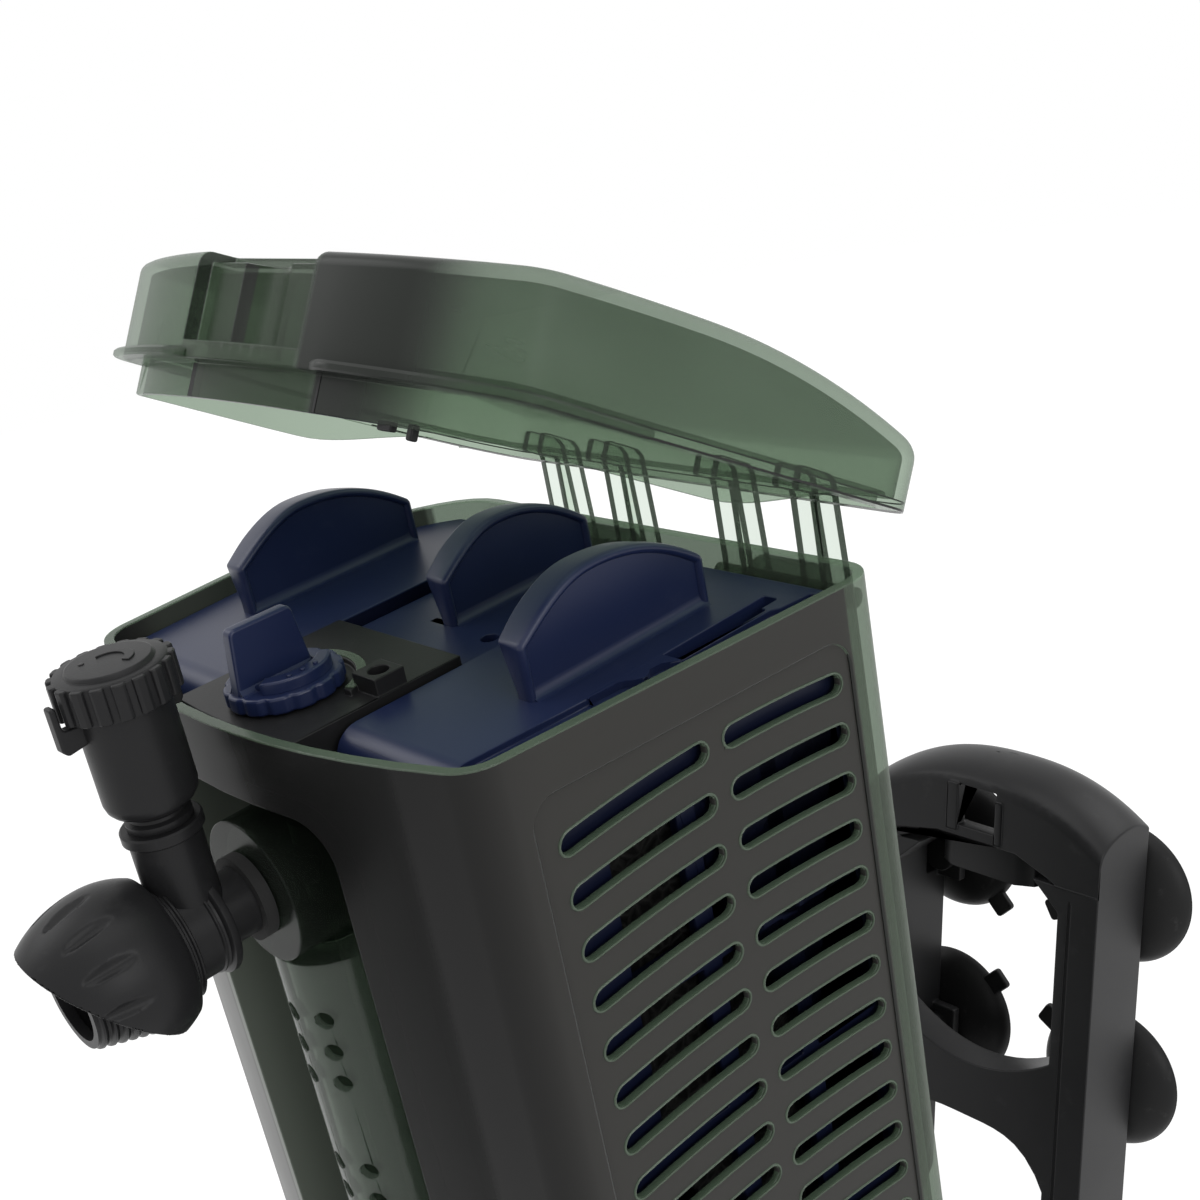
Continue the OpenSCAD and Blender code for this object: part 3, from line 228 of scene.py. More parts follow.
mouldedLook = {
    "black": {"colour": rgb(0.010, 0.010, 0.0105), "worn": rgb(0.017, 0.017, 0.018), "rough": 0.38, "roughSpread": 0.14,
              "gloss": 0.17, "mottle": 34, "grain": 2600, "relief": 0.16, "dust": 0.10},
    "navy": {"colour": rgb(0.008, 0.014, 0.050), "worn": rgb(0.013, 0.021, 0.066), "rough": 0.34, "roughSpread": 0.12,
             "gloss": 0.36, "mottle": 40, "grain": 3000, "relief": 0.10, "dust": 0.08},
    # a darker navy, painted shade for the cages' lower walls
    "shade": {"colour": rgb(0.003, 0.005, 0.018), "worn": rgb(0.005, 0.007, 0.024), "rough": 0.42, "roughSpread": 0.12,
              "gloss": 0.2, "mottle": 40, "grain": 3000, "relief": 0.10, "dust": 0.04},
    "cup": {"colour": rgb(0.008, 0.008, 0.0085), "worn": rgb(0.014, 0.014, 0.014), "rough": 0.44, "roughSpread": 0.16,
            "gloss": 0.16, "mottle": 50, "grain": 1800, "relief": 0.12, "dust": 0.25},
    "foot": {"colour": rgb(0.012, 0.012, 0.012), "worn": rgb(0.03, 0.03, 0.03), "rough": 0.75, "roughSpread": 0.2,
             "gloss": 0.2, "mottle": 80, "grain": 1500, "relief": 0.3, "dust": 0.4},
    "white": {"colour": rgb(0.72, 0.72, 0.68), "worn": rgb(0.62, 0.61, 0.56), "rough": 0.4, "roughSpread": 0.1,
              "gloss": 0.4, "mottle": 60, "grain": 2200, "relief": 0.1, "dust": 0.0},
    "potting": {"colour": rgb(0.10, 0.045, 0.02), "worn": rgb(0.16, 0.08, 0.035), "rough": 0.5, "roughSpread": 0.2,
                "gloss": 0.4, "mottle": 90, "grain": 900, "relief": 0.3, "dust": 0.0},
}
blackPlastic = mouldedPlastic("blackPlastic", mouldedLook["black"])
navyPlastic = mouldedPlastic("navyPlastic", mouldedLook["navy"])
navyShade = mouldedPlastic("navyShade", mouldedLook["shade"])
cupRubber = mouldedPlastic("cupRubber", mouldedLook["cup"])
footRubber = mouldedPlastic("footRubber", mouldedLook["foot"])
whitePlastic = mouldedPlastic("whitePlastic", mouldedLook["white"])
pottedStator = mouldedPlastic("pottedStator", mouldedLook["potting"])


def openCellFoam(name, cells, pale, dark):
    b = Board(name)
    gap = b.add("ShaderNodeTexVoronoi", {"feature": "DISTANCE_TO_EDGE"}, {"Vector": b.place, "Scale": cells})
    wall = (gap * 4.0).held()
    # the cells' hollows are painted darker, as shade
    shader = b.add("ShaderNodeBsdfPrincipled", {}, {
        "Base Color": b.blend(wall, pale, dark), "Roughness": (0.95 - wall * 0.1).held(), "Specular IOR Level": 0.1,
        "Normal": b.bump(1.0 - wall, 0.8, 0.0006)})
    return b.surface(shader)


def bakedCeramic(name, pale, dark, rough, pits):
    b = Board(name)
    pore = b.add("ShaderNodeTexVoronoi", {}, {"Vector": b.place, "Scale": pits}, output="Distance")
    cloud = b.noise(120, 4.0)
    shader = b.add("ShaderNodeBsdfPrincipled", {}, {
        "Base Color": b.blend(cloud, pale, dark), "Roughness": ((cloud - 0.5) * 0.15 + rough).held(),
        "Normal": b.bump(pore + cloud * 0.5, 0.35, 0.0003)})
    return b.surface(shader)


def brushedMetal(name, colour, dark, rough, metallic):
    b = Board(name)
    brush = b.noise(1400, 3.0, 0.6, stretch=(0.05, 1.0, 1.0))
    shader = b.add("ShaderNodeBsdfPrincipled", {}, {
        "Base Color": b.blend(brush, colour, dark), "Metallic": metallic,
        "Roughness": ((brush - 0.5) * 0.2 + rough).held(), "Normal": b.bump(brush, 0.12, 0.00005)})
    return b.surface(shader)


padFoam = openCellFoam("padFoam", 420.0, rgb(0.022, 0.022, 0.021), rgb(0.004, 0.004, 0.004))
ringCeramic = bakedCeramic("ringCeramic", rgb(0.72, 0.68, 0.58), rgb(0.50, 0.46, 0.38), 0.85, 1500)
shaftCeramic = bakedCeramic("shaftCeramic", rgb(0.85, 0.84, 0.80), rgb(0.74, 0.73, 0.70), 0.25, 4000)
rotorMagnet = brushedMetal("rotorMagnet", rgb(0.06, 0.06, 0.065), rgb(0.03, 0.03, 0.035), 0.42, 0.6)
pinSteel = brushedMetal("pinSteel", rgb(0.55, 0.56, 0.58), rgb(0.38, 0.39, 0.41), 0.3, 1.0)
print("materials ready")


# mesh helpers, all in millimetres
def arc(cx, cy, radius, start, end, steps=7):
    turns = [math.radians(start + (end - start) * i / steps) for i in range(steps + 1)]
    return [(cx + radius * math.cos(a), cy + radius * math.sin(a)) for a in turns]


def roundCorners(points, radius, steps=3, closed=True, least=20.0):  # arcs in place of a line's corners
    done, count = [], len(points)
    for i, here in enumerate(points):
        p, a, c = Vector(here), Vector(points[i - 1]), Vector(points[(i + 1) % count])
        u, v = a - p, c - p
        if (not closed and i in (0, count - 1)) or u.length < 1e-6 or v.length < 1e-6:
            done.append(tuple(here))
            continue
        bend = 180 - math.degrees(u.angle(v))
        if bend < least:
            done.append(tuple(here))
            continue
        reach = min(radius * math.tan(math.radians(bend / 2)), u.length * 0.45, v.length * 0.45)
        s, e = p + u.normalized() * reach, p + v.normalized() * reach
        for k in range(steps + 1):
            t = k / steps
            done.append(tuple(s.lerp(p, t).lerp(p.lerp(e, t), t)))
    return done


def ringSkin(rings, looped=False):  # quads between closed rings; a ring of one point is a pole
    verts, faces, spans = [], [], []
    for ring in rings:
        spans.append((len(verts), len(ring)))
        verts += [tuple(p) for p in ring]
    for (a, na), (b, nb) in list(zip(spans[:-1], spans[1:])) + ([(spans[-1], spans[0])] if looped else []):
        count = max(na, nb)
        for i in range(count):
            j = (i + 1) % count
            if na == 1:
                faces.append((a, b + j, b + i))
            elif nb == 1:
                faces.append((a + i, a + j, b))
            else:
                faces.append((a + i, a + j, b + j, b + i))
    if not looped:
        for start, count in (spans[0], spans[-1]):
            if count > 2:
                faces.append(tuple(range(start, start + count)))
    return verts, faces


def turned(profile, centre=(0, 0, 0), axis="z", segments=64, looped=False):  # (radius, height) points round an axis
    rings = []
    for radius, height in profile:
        flat = [(0.0, 0.0)] if radius < 1e-6 else [
            (radius * math.cos(2 * math.pi * k / segments), radius * math.sin(2 * math.pi * k / segments))
            for k in range(segments)]
        spots = [{"z": (u, v, height), "y": (v, height, u), "x": (height, u, v)}[axis] for u, v in flat]
        rings.append([(p[0] + centre[0], p[1] + centre[1], p[2] + centre[2]) for p in spots])
    return ringSkin(rings, looped=looped)


def inset(points, depth):  # draws an anticlockwise outline in along its corners' normals
    if abs(depth) < 1e-9:
        return [tuple(p) for p in points]
    pts = np.array(points, float)
    e1, e2 = pts - np.roll(pts, 1, 0), np.roll(pts, -1, 0) - pts
    n1 = np.stack([e1[:, 1], -e1[:, 0]], 1) / np.maximum(np.linalg.norm(e1, axis=1, keepdims=True), 1e-9)
    n2 = np.stack([e2[:, 1], -e2[:, 0]], 1) / np.maximum(np.linalg.norm(e2, axis=1, keepdims=True), 1e-9)
    mid = n1 + n2
    mid /= np.maximum((mid * mid).sum(1, keepdims=True), 0.8) / 2
    return [tuple(p) for p in pts - mid * depth]


planes = {"xy": lambda u, v, w: (u, v, w), "xz": lambda u, v, w: (u, w, v), "yz": lambda u, v, w: (w, u, v)}


def slab(outline, low, high, edge, plane="xy", steps=3):  # extruded outline with rounded edges
    quarter = [math.pi / 2 * k / steps for k in range(steps + 1)]
    rings = [(inset(outline, edge * (1 - math.sin(a))), low + edge * (1 - math.cos(a))) for a in quarter]
    rings += [(inset(outline, edge * (1 - math.cos(a))), high - edge * (1 - math.sin(a))) for a in quarter]
    return ringSkin([[planes[plane](u, v, w) for u, v in flat] for flat, w in rings])


def block(low, high, edge=0.0):  # box between two corners, its upright edges and rims rounded
    outline = [(low[0], low[1]), (high[0], low[1]), (high[0], high[1]), (low[0], high[1])]
    if edge:
        outline = roundCorners(outline, edge, 3)
    return slab(outline, low[2], high[2], edge, steps=2 if edge else 1)


def meshOf(parts):  # one clean bmesh from (verts, faces[, material]) parts
    bm = bmesh.new()
    for part in parts:
        made = [bm.verts.new(v) for v in part[0]]
        for face in part[1]:
            corners = [made[i] for i in face]
            if len(set(corners)) > 2:
                bm.faces.new(corners).material_index = part[2] if len(part) > 2 else 0
    bmesh.ops.remove_doubles(bm, verts=bm.verts, dist=1e-4)
    bmesh.ops.recalc_face_normals(bm, faces=bm.faces)
    return bm


def toObject(name, bm, finishes, place=None, scale=mm):
    bm.transform(Matrix.Scale(scale, 4) @ (place or Matrix.Identity(4)))
    mesh = bpy.data.meshes.new(name)
    bm.to_mesh(mesh)
    bm.free()
    for finish in finishes:
        mesh.materials.append(finish)
    piece = bpy.data.objects.new(name, mesh)
    bpy.context.scene.collection.objects.link(piece)
    return piece


def applied(piece):  # the evaluated mesh in place of the modifiers
    bpy.context.view_layer.update()
    mesh = bpy.data.meshes.new_from_object(
        piece.evaluated_get(bpy.context.evaluated_depsgraph_get()), preserve_all_data_layers=True,
        depsgraph=bpy.context.evaluated_depsgraph_get())
    piece.modifiers.clear()
    old, piece.data = piece.data, mesh
    mesh.name = piece.name
    bpy.data.meshes.remove(old)
    return piece


def smoothed(piece, edge=0.0, steps=2, angle=35.0, sharp=50.0):  # small edge rounds and even shading
    for polygon in piece.data.polygons:
        polygon.use_smooth = True
    if edge:
        bevel = piece.modifiers.new("edges", "BEVEL")
        bevel.width, bevel.segments, bevel.angle_limit = edge * mm, steps, math.radians(angle)
        bevel.use_clamp_overlap = False
        bevel.miter_outer = "MITER_ARC"
        applied(piece)
    piece.data.set_sharp_from_angle(angle=math.radians(sharp))
    even = piece.modifiers.new("even", "WEIGHTED_NORMAL")
    even.keep_sharp, even.weight = True, 60
    return applied(piece)


def cutWith(piece, tool, kind="DIFFERENCE"):
    step = piece.modifiers.new("cut", "BOOLEAN")
    step.operation, step.object, step.solver = kind, tool, "EXACT"
    applied(piece)


def cut(piece, parts, kind="DIFFERENCE", place=None, scale=mm):  # boolean with each closed part in turn
    for part in parts:
        tool = toObject("tool", meshOf([part]), [], place, scale)
        cutWith(piece, tool, kind)
        bpy.data.objects.remove(tool)
    return piece


def planed(piece):  # flat neighbours become one face again
    bm = bmesh.new()
    bm.from_mesh(piece.data)
    bmesh.ops.remove_doubles(bm, verts=bm.verts, dist=2e-5)
    bmesh.ops.dissolve_limit(bm, angle_limit=math.radians(1.0), verts=bm.verts, edges=bm.edges)
    bm.to_mesh(piece.data)
    bm.free()
    return piece


def cadCopy(node, name, finishes, edge, dropAbove=None):  # a solid of the frame as a clean mesh of its own
    bm = bmesh.new()
    bm.from_mesh(frame["nodes"][node].data)
    bmesh.ops.remove_doubles(bm, verts=bm.verts, dist=2e-6)
    if dropAbove is not None:
        gone = [v for v in bm.verts if v.co.z > (dropAbove + 0.05) * mm]
        bmesh.ops.delete(bm, geom=gone, context="VERTS")
        bmesh.ops.holes_fill(bm, edges=[e for e in bm.edges if e.is_boundary], sides=0)
    bmesh.ops.dissolve_limit(bm, angle_limit=math.radians(0.5), verts=bm.verts, edges=bm.edges)
    for face in bm.faces:
        face.material_index = 0
    return smoothed(toObject(name, bm, finishes, scale=1.0), edge, 2, 32.0)


def joined(name, pieces):
    bm = bmesh.new()
    finishes = []
    for piece in pieces:
        spots = []
        for finish in piece.data.materials:
            if finish not in finishes:
                finishes.append(finish)
            spots.append(finishes.index(finish))
        start = len(bm.faces)
        bm.from_mesh(piece.data)
        bm.faces.ensure_lookup_table()
        for face in bm.faces[start:]:
            face.material_index = spots[face.material_index] if spots else 0
    for piece in pieces:
        bpy.data.objects.remove(piece)
    made = toObject(name, bm, finishes, scale=1.0)
    made.data.name = name
    return smoothed(made, sharp=40)


def settle(piece, bodyName, slotName, *nodes):
    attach(piece, bodyName)
    if nodes:
        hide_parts(*nodes)
    return piece


def finishNode(node, finish):  # a solid of the frame that shows as it is
    solid = frame["nodes"][node]
    solid.data.materials.clear()
    solid.data.materials.append(finish)


class Tree:  # a Geometry Nodes tree with named inputs, ending in Realize Instances and Set Material
    def __init__(self, name, inputs):
        self.tree = bpy.data.node_groups.new(name, "GeometryNodeTree")
        face = self.tree.interface
        face.new_socket("Geometry", in_out="OUTPUT", socket_type="NodeSocketGeometry")
        self.ids = {}
        for title, kind, value in inputs:
            socket = face.new_socket(title, in_out="INPUT", socket_type=kind)
            if value is not None:
                socket.default_value = value
            self.ids[title] = socket.identifier
        self.inputs = self.tree.nodes.new("NodeGroupInput")
        self.out = self.tree.nodes.new("NodeGroupOutput")

    def add(self, kind, settings=None, sockets=None, output=0):
        node = self.tree.nodes.new(kind)
        for key, value in (settings or {}).items():
            setattr(node, key, value)
        for key, value in (sockets or {}).items():
            if isinstance(value, bpy.types.NodeSocket):
                self.tree.links.new(value, node.inputs[key])
            else:
                node.inputs[key].default_value = value
        return node.outputs[output]

    def end(self, instances):
        real = self.add("GeometryNodeRealizeInstances", {}, {0: instances})
        painted = self.add("GeometryNodeSetMaterial", {}, {"Geometry": real, "Material": self.inputs.outputs["Finish"]})
        self.tree.links.new(painted, self.out.inputs[0])
        return self


def grow(tree, name, values):  # runs a tree on an empty mesh and keeps the plain result
    piece = bpy.data.objects.new(name, bpy.data.meshes.new(name))
    bpy.context.scene.collection.objects.link(piece)
    step = piece.modifiers.new("grow", "NODES")
    step.node_group = tree.tree
    for title, value in values.items():
        step[tree.ids[title]] = value
    applied(piece)
    return piece


def lineTree():  # copies of a piece along a straight line
    t = Tree("piecesInLine", [
        ("Piece", "NodeSocketObject", None), ("Count", "NodeSocketInt", 2), ("Start", "NodeSocketVector", None),
        ("Step", "NodeSocketVector", None), ("Turn", "NodeSocketVector", None), ("Finish", "NodeSocketMaterial", None)])
    n = t.inputs.outputs
    line = t.add("GeometryNodeMeshLine", {"mode": "OFFSET"},
                 {"Count": n["Count"], "Start Location": n["Start"], "Offset": n["Step"]})
    source = t.add("GeometryNodeObjectInfo", {}, {"Object": n["Piece"]}, output="Geometry")
    turn = t.add("FunctionNodeEulerToRotation", {}, {0: n["Turn"]})
    return t.end(t.add("GeometryNodeInstanceOnPoints", {}, {"Points": line, "Instance": source, "Rotation": turn}))


def circleTree():  # copies of a piece round the Z axis, each turned outwards
    t = Tree("piecesInCircle", [
        ("Piece", "NodeSocketObject", None), ("Count", "NodeSocketInt", 8), ("Radius", "NodeSocketFloat", 0.01),
        ("Centre", "NodeSocketVector", None), ("Finish", "NodeSocketMaterial", None)])
    n = t.inputs.outputs
    circle = t.add("GeometryNodeMeshCircle", {}, {"Vertices": n["Count"], "Radius": n["Radius"]})
    source = t.add("GeometryNodeObjectInfo", {}, {"Object": n["Piece"]}, output="Geometry")
    spot = t.add("GeometryNodeInputPosition")
    turn = t.add("FunctionNodeAlignRotationToVector", {"axis": "X"}, {"Vector": spot})
    made = t.add("GeometryNodeInstanceOnPoints", {}, {"Points": circle, "Instance": source, "Rotation": turn})
    real = t.add("GeometryNodeRealizeInstances", {}, {0: made})
    return t.end(t.add("GeometryNodeTransform", {}, {"Geometry": real, "Translation": n["Centre"]}))


alongLine, roundCircle = lineTree(), circleTree()
print("helpers ready")

# camera, background, floor and lamps
view = {"place": (0.2172, -0.1411, 0.3685), "lens": 47.04, "ahead": (-0.7144, 0.5931, -0.3714),
        "right": (0.6816, 0.7100, -0.1772)}
cameraData = bpy.data.cameras.new("mainView")
cameraData.lens, cameraData.sensor_width, cameraData.sensor_fit = view["lens"], 36.0, "HORIZONTAL"
cameraData.clip_start = 0.01
camera = bpy.data.objects.new("mainView", cameraData)
bpy.context.scene.collection.objects.link(camera)
ahead = Vector(view["ahead"]).normalized()
right = (Vector(view["right"]) - ahead * Vector(view["right"]).dot(ahead)).normalized()
lookOut = Matrix((right, right.cross(ahead), -ahead)).transposed().to_4x4()
camera.matrix_world = Matrix.Translation(view["place"]) @ lookOut
bpy.context.scene.camera = camera
bpy.context.scene.view_settings.view_transform = "Standard"
bpy.context.scene.cycles.transparent_max_bounces = 24

studio = {"sky": 0.62, "pale": rgb(0.93, 0.93, 0.93), "paler": rgb(0.95, 0.95, 0.95), "floorGlow": 1.14,
          "glowShare": 0.8, "aim": (0, 0.05, 0.18)}
world = bpy.data.worlds.new("studio")
bpy.context.scene.world = world
world.use_nodes = True


def raysSeen(b):  # 1 for the rays of the camera, of mirrors and of glass
    names = ("Is Camera Ray", "Is Glossy Ray", "Is Transmission Ray")
    kinds = [b.add("ShaderNodeLightPath", output=kind) for kind in names]
    return kinds[0].join("MAXIMUM", kinds[0].join("MAXIMUM", kinds[0], kinds[1]), kinds[2])


def paleSky():
    b = Board("studio", world.node_tree, "ShaderNodeOutputWorld")
    strength = raysSeen(b) * (1.0 - studio["sky"]) + studio["sky"]
    b.surface(b.add("ShaderNodeBackground", {}, {"Color": rgb(1, 1, 1), "Strength": strength}))


def paleFloor():
    b = Board("paleFloor")
    colour = b.blend(b.noise(3), studio["pale"], studio["paler"])
    matt = b.add("ShaderNodeBsdfDiffuse", {}, {"Color": colour, "Roughness": 0.6})
    glow = b.add("ShaderNodeEmission", {}, {"Color": rgb(1, 1, 1), "Strength": studio["floorGlow"]})
    return b.surface(b.add("ShaderNodeMixShader", {}, {0: raysSeen(b) * studio["glowShare"], 1: matt, 2: glow}))


paleSky()
floorPiece = toObject("floorDisc", meshOf([turned([(0, 0), (1600, 0), (1600, -4), (0, -4)], (0, 60, 0))]),
                      [paleFloor()])

lampLook = {"key": ((-1.1, -0.5, 1.35), 5.0, 0.9), "side": ((1.5, -0.1, 0.9), 7.0, 0.9),
            "back": ((0.5, 1.4, 1.2), 6.0, 0.9), "top": ((0.1, 0.1, 1.7), 6.0, 1.1)}
for name, (spot, power, size) in lampLook.items():
    lampData = bpy.data.lights.new(name, "AREA")
    lampData.energy, lampData.size = power, size
    lamp = bpy.data.objects.new(name, lampData)
    bpy.context.scene.collection.objects.link(lamp)
    beam = Vector(studio["aim"]) - Vector(spot)
    lamp.matrix_world = Matrix.Translation(spot) @ beam.to_track_quat("-Z", "Y").to_matrix().to_4x4()
print("camera, floor and lamps ready")

# solids of the frame that show as they are
plainNodes = {
    "rubber_feet": footRubber, "pump_housing": blackPlastic, "pump_stator": pottedStator, "rotor_shaft": shaftCeramic,
    "shaft_bushes": footRubber, "impeller_cover": blackPlastic, "cable_gland": footRubber, "rotor_magnet": rotorMagnet,
    "impeller": whitePlastic, "hinge_pins": smokedShell, "bracket_pin": pinSteel, "tee_seal": footRubber,
    "air_needle": whitePlastic, "valve_rotor": blackPlastic,
}
for nodeName, finish in plainNodes.items():
    finishNode(nodeName, finish)


# one closed solid swept along an open line in the YZ plane; the section is (x, depth below the line)
def swept(line, section):
    rings, count = [], len(line)
    for i, (y, z) in enumerate(line):
        a, c = Vector(line[max(i - 1, 0)]), Vector(line[min(i + 1, count - 1)])
        along = (c - a).normalized()
        down = Vector((along.y, -along.x))  # to the right of the way the line runs
        rings.append([(x, y + down.x * depth, z + down.y * depth) for x, depth in section(z)])
    return ringSkin(rings)


def handleLine(y0, y1, z0, z1):  # up the front, over the bow and down the back
    height, length = z1 - z0, y1 - y0
    line = [(y0, z0 - 0.6), (y0, z0 + 0.30 * height), (y0, z0 + 0.55 * height)]
    for i in range(1, 31):
        t = i / 30
        rise = 0.55 + 0.45 * math.sin(math.pi / 2 * min(t / 0.42, 1)) - 0.5 * (max(t - 0.42, 0) / 0.58) ** 2.2
        line.append((y0 + length * t, z0 + height * rise))
    line.append((y1, z0 - 0.6))
    return roundCorners(line, 2.6, 5, closed=False, least=24)


handleLook = {"plate": 2.4, "rim": 1.7, "lip": 5.0, "proud": 0.8, "fillet": 1.8}


def handleParts(x, y0, y1, z0, z1):
    look = handleLook
    line = handleLine(y0, y1, z0, z1)
    half = look["plate"] / 2
    plate = slab(inset(line[::-1], 0.7)[::-1], x - half, x + half, 0.3, "yz")
    rim = look["rim"]

    def section(z):  # narrow at the foot, full width at the crown
        grow = min(1.0, max(0.0, (z - z0) / (0.75 * (z1 - z0))))
        left, right = x - 1.9 - (look["lip"] - 1.9) * grow ** 0.8, x + look["plate"] / 2 + look["proud"]
        return [(left, 1.1), (left + 0.1, 0.75), (left + 0.5, 0.55), (x - 1.1, 0.12), (x + 0.6, 0.0),
                (right - 0.7, 0.06), (right - 0.2, 0.28), (right, 0.8), (right - 0.1, rim - 0.5),
                (right - 0.5, rim - 0.1), (right - 1.0, rim), (left + 0.5, rim + 0.5), (left + 0.15, rim + 0.3),
                (left, rim)]

    start = x + look["plate"] / 2 - 0.1
    size = look["fillet"]
    curve = [(start + 0.1 + size * (1 - math.sin(a)), z0 + size * (1 - math.cos(a)))
             for a in np.linspace(0, math.pi / 2, 6)]
    footLine = [(start, z0 + size)] + curve[::-1] + [(start + size + 0.1, z0 - 0.4), (start, z0 - 0.4)]
    foot = ringSkin([[(u, y, w) for u, w in footLine] for y in (y0 + 0.8, y1 - 0.8)])
    return [plate, swept(line, section), foot]


def moulded(name, parts, finish, sharp=40, place=None):  # a plain shaded piece of one finish
    return smoothed(toObject(name, meshOf(parts), [finish], place), sharp=sharp)


cageLook = {"side": (-12.5, 28.5, 267.0, 284.0), "middle": (4.0, 39.5, 265.0, 281.0), "noseRound": 5.0, "dark": 262.5}
plateEdge = [(46.4, -36), (47.8, -17.1), (49.1, -1.0), (49.6, -0.1), (50.6, 0.5), (51.5, 1.6), (51.6, 2.9), (50.9, 3.9),
             (50.4, 4.6), (50.6, 7.0), (52.9, 9.2), (53.6, 29.9), (54.6, 31.2), (55.4, 38)]


def cageTop(node, name, x, spans, finish, nose):
    y0, y1, z0, z1 = spans
    shell = cadCopy(node, name + "Shell", [finish], 0, dropAbove=z0)
    if nose is not None:  # the plate's front edge rolls down
        r = cageLook["noseRound"]
        away = [(nose - 1, z0 + 1), (nose - 1, z0 - r)]
        away += [(nose + r - r * math.cos(a), z0 - r + r * math.sin(a)) for a in np.linspace(0, math.pi / 2, 9)]
        away.append((nose + r, z0 + 1))
        cut(shell, [slab(away, -70, 70, 0, "yz", steps=1)])
    parts = []
    if x > 0:  # the right plate has a lower strip along its edge and one wide slot
        outer = plateEdge + [(80, 38), (80, -36)]
        cut(shell, [slab(outer[::-1], z0 - 1.2, z0 + 2, 0, steps=1), block((48.8, 9.4, z0 - 6), (52.6, 29.8, z0 + 2))])
        fill = [slab([(48.3, -7.4), (51.8, -7.4), (51.8, 9.4), (48.3, 9.4)], z0 - 1.9, z0 - 1.2, 0, steps=1),
                slab([(48.3, 9.4), (48.3, -7.4)] + [(48.6, -7.4)] + plateEdge[2:10] + [(52.9, 9.4)], z0 - 1.3, z0, 0,
                     steps=1)]
        parts.append(moulded(name + "Fill", fill, finish))
    parts.append(moulded(name + "Grip", handleParts(x, y0, y1, z0, z1), finish, 55))
    whole = joined(name, [smoothed(shell, 0.3, 2, angle=32)] + parts)
    # faces low on the cage take the darker navy as painted shade
    whole.data.materials.append(navyShade)
    for face in whole.data.polygons:
        if face.center.z < cageLook["dark"] * mm:
            face.material_index = 1
    return whole


padLook = {"voxel": 3.0, "rounds": 3, "waves": 55.0, "sink": 0.7, "fill": 0.9}


def foamPad(node, name):  # a cut foam block, its edges worn round and its faces a little uneven
    f = padLook
    pad = cadCopy(node, name, [padFoam], 0)
    step = pad.modifiers.new("even", "REMESH")
    step.mode, step.voxel_size = "VOXEL", f["voxel"] * mm
    soft = pad.modifiers.new("soft", "SMOOTH")
    soft.factor, soft.iterations = 0.5, f["rounds"]
    fine = pad.modifiers.new("fine", "SUBSURF")
    fine.levels = fine.render_levels = 1
    applied(pad)
    normals = [v.normal.copy() for v in pad.data.vertices]
    for v, out in zip(pad.data.vertices, normals):
        sink = noise.noise(v.co * f["waves"]) + 0.4 * noise.noise(v.co * f["waves"] * 3.1)
        v.co -= out * (0.5 + 0.5 * max(-1.0, min(1.0, sink))) * f["sink"] * mm
    for face in pad.data.polygons:
        face.use_smooth = True
    pad.data.materials.clear()
    pad.data.materials.append(padFoam)
    return pad


for node, name, x, spans, nose in (("foam_cage_right", "rightCage", 39.5, "side", -35),
                                   ("foam_cage_left", "leftCage", -42.0, "side", -35),
                                   ("media_basket", "ringBasket", -1.0, "middle", None)):
    settle(cageTop(node, name, x, cageLook[spans], navyPlastic, nose), "filter", "navy_plastic", node)
print("cages and handles ready")

dialLook = {"y": -30.1, "radius": 10.0, "low": 268.3, "top": 271.3, "scallops": 14, "depth": 0.45}


def flowDial():
    d = dialLook
    rim = []
    for k in range(168):
        a = 2 * math.pi * k / 168
        wave = max(0.0, math.cos(d["scallops"] * a)) ** 2 * d["depth"]
        rim.append(((d["radius"] - wave) * math.cos(a), d["y"] + (d["radius"] - wave) * math.sin(a)))
    disc = slab(rim, d["low"], d["top"], 0.55)
    ring = turned([(5.3, d["top"] - 0.2), (5.3, d["top"] + 0.5), (5.55, d["top"] + 0.8), (6.25, d["top"] + 0.8),
                   (6.5, d["top"] + 0.5), (6.5, d["top"] - 0.2)], (0, d["y"], 0), looped=True)
    boss = arc(0, d["y"], 8.3, -58, 62, 16) + arc(-1.9, d["y"] + 0.2, 7.0, 50, -47, 14)
    boss = slab(roundCorners(boss, 0.6, 2, least=40), d["top"] - 0.3, d["top"] + 2.1, 0.45)
    studs = [arc(6.3 + 0.55 * math.cos(a), d["y"] + 6.3 * math.sin(a), 0.45, 0, 330, 9)
             for a in np.radians([-24, 0, 24])]
    studs = [slab(line, d["top"] + 1.9, d["top"] + 2.45, 0.12) for line in studs]
    blade = roundCorners([(-39.4, 270.2), (-24.6, 270.2), (-26.2, 282.3), (-37.9, 282.3)], 1.3, 4)
    blade = slab(blade, -1.3, 1.3, 0.55, "yz")
    foot = [[(side * (1.2 + 1.1 * (1 - math.sin(a))), y, d["top"] + 1.1 * (1 - math.cos(a)))
             for a in np.linspace(0, math.pi / 2, 5)]
            + [(side * 2.2, y, d["top"] - 0.3), (0, y, d["top"] - 0.3), (0, y, d["top"] + 1.0)]
            for side in (-1, 1) for y in (-39.0, -25.2)]
    return [disc, ring, boss, blade, ringSkin(foot[0:2]), ringSkin(foot[2:4])] + studs


spindle = turned([(0, 246), (2.9, 246), (2.9, 268.6), (0, 268.6)], (0, dialLook["y"], 0))
settle(moulded("flowDialTop", flowDial() + [spindle], navyPlastic, 50), "dial", "navy_plastic", "flow_dial")


# lathed ring about the line of the outlet, closed on itself
def pipe(profile):
    return turned(profile, (0, 0, 238.0), "y", 96, looped=True)


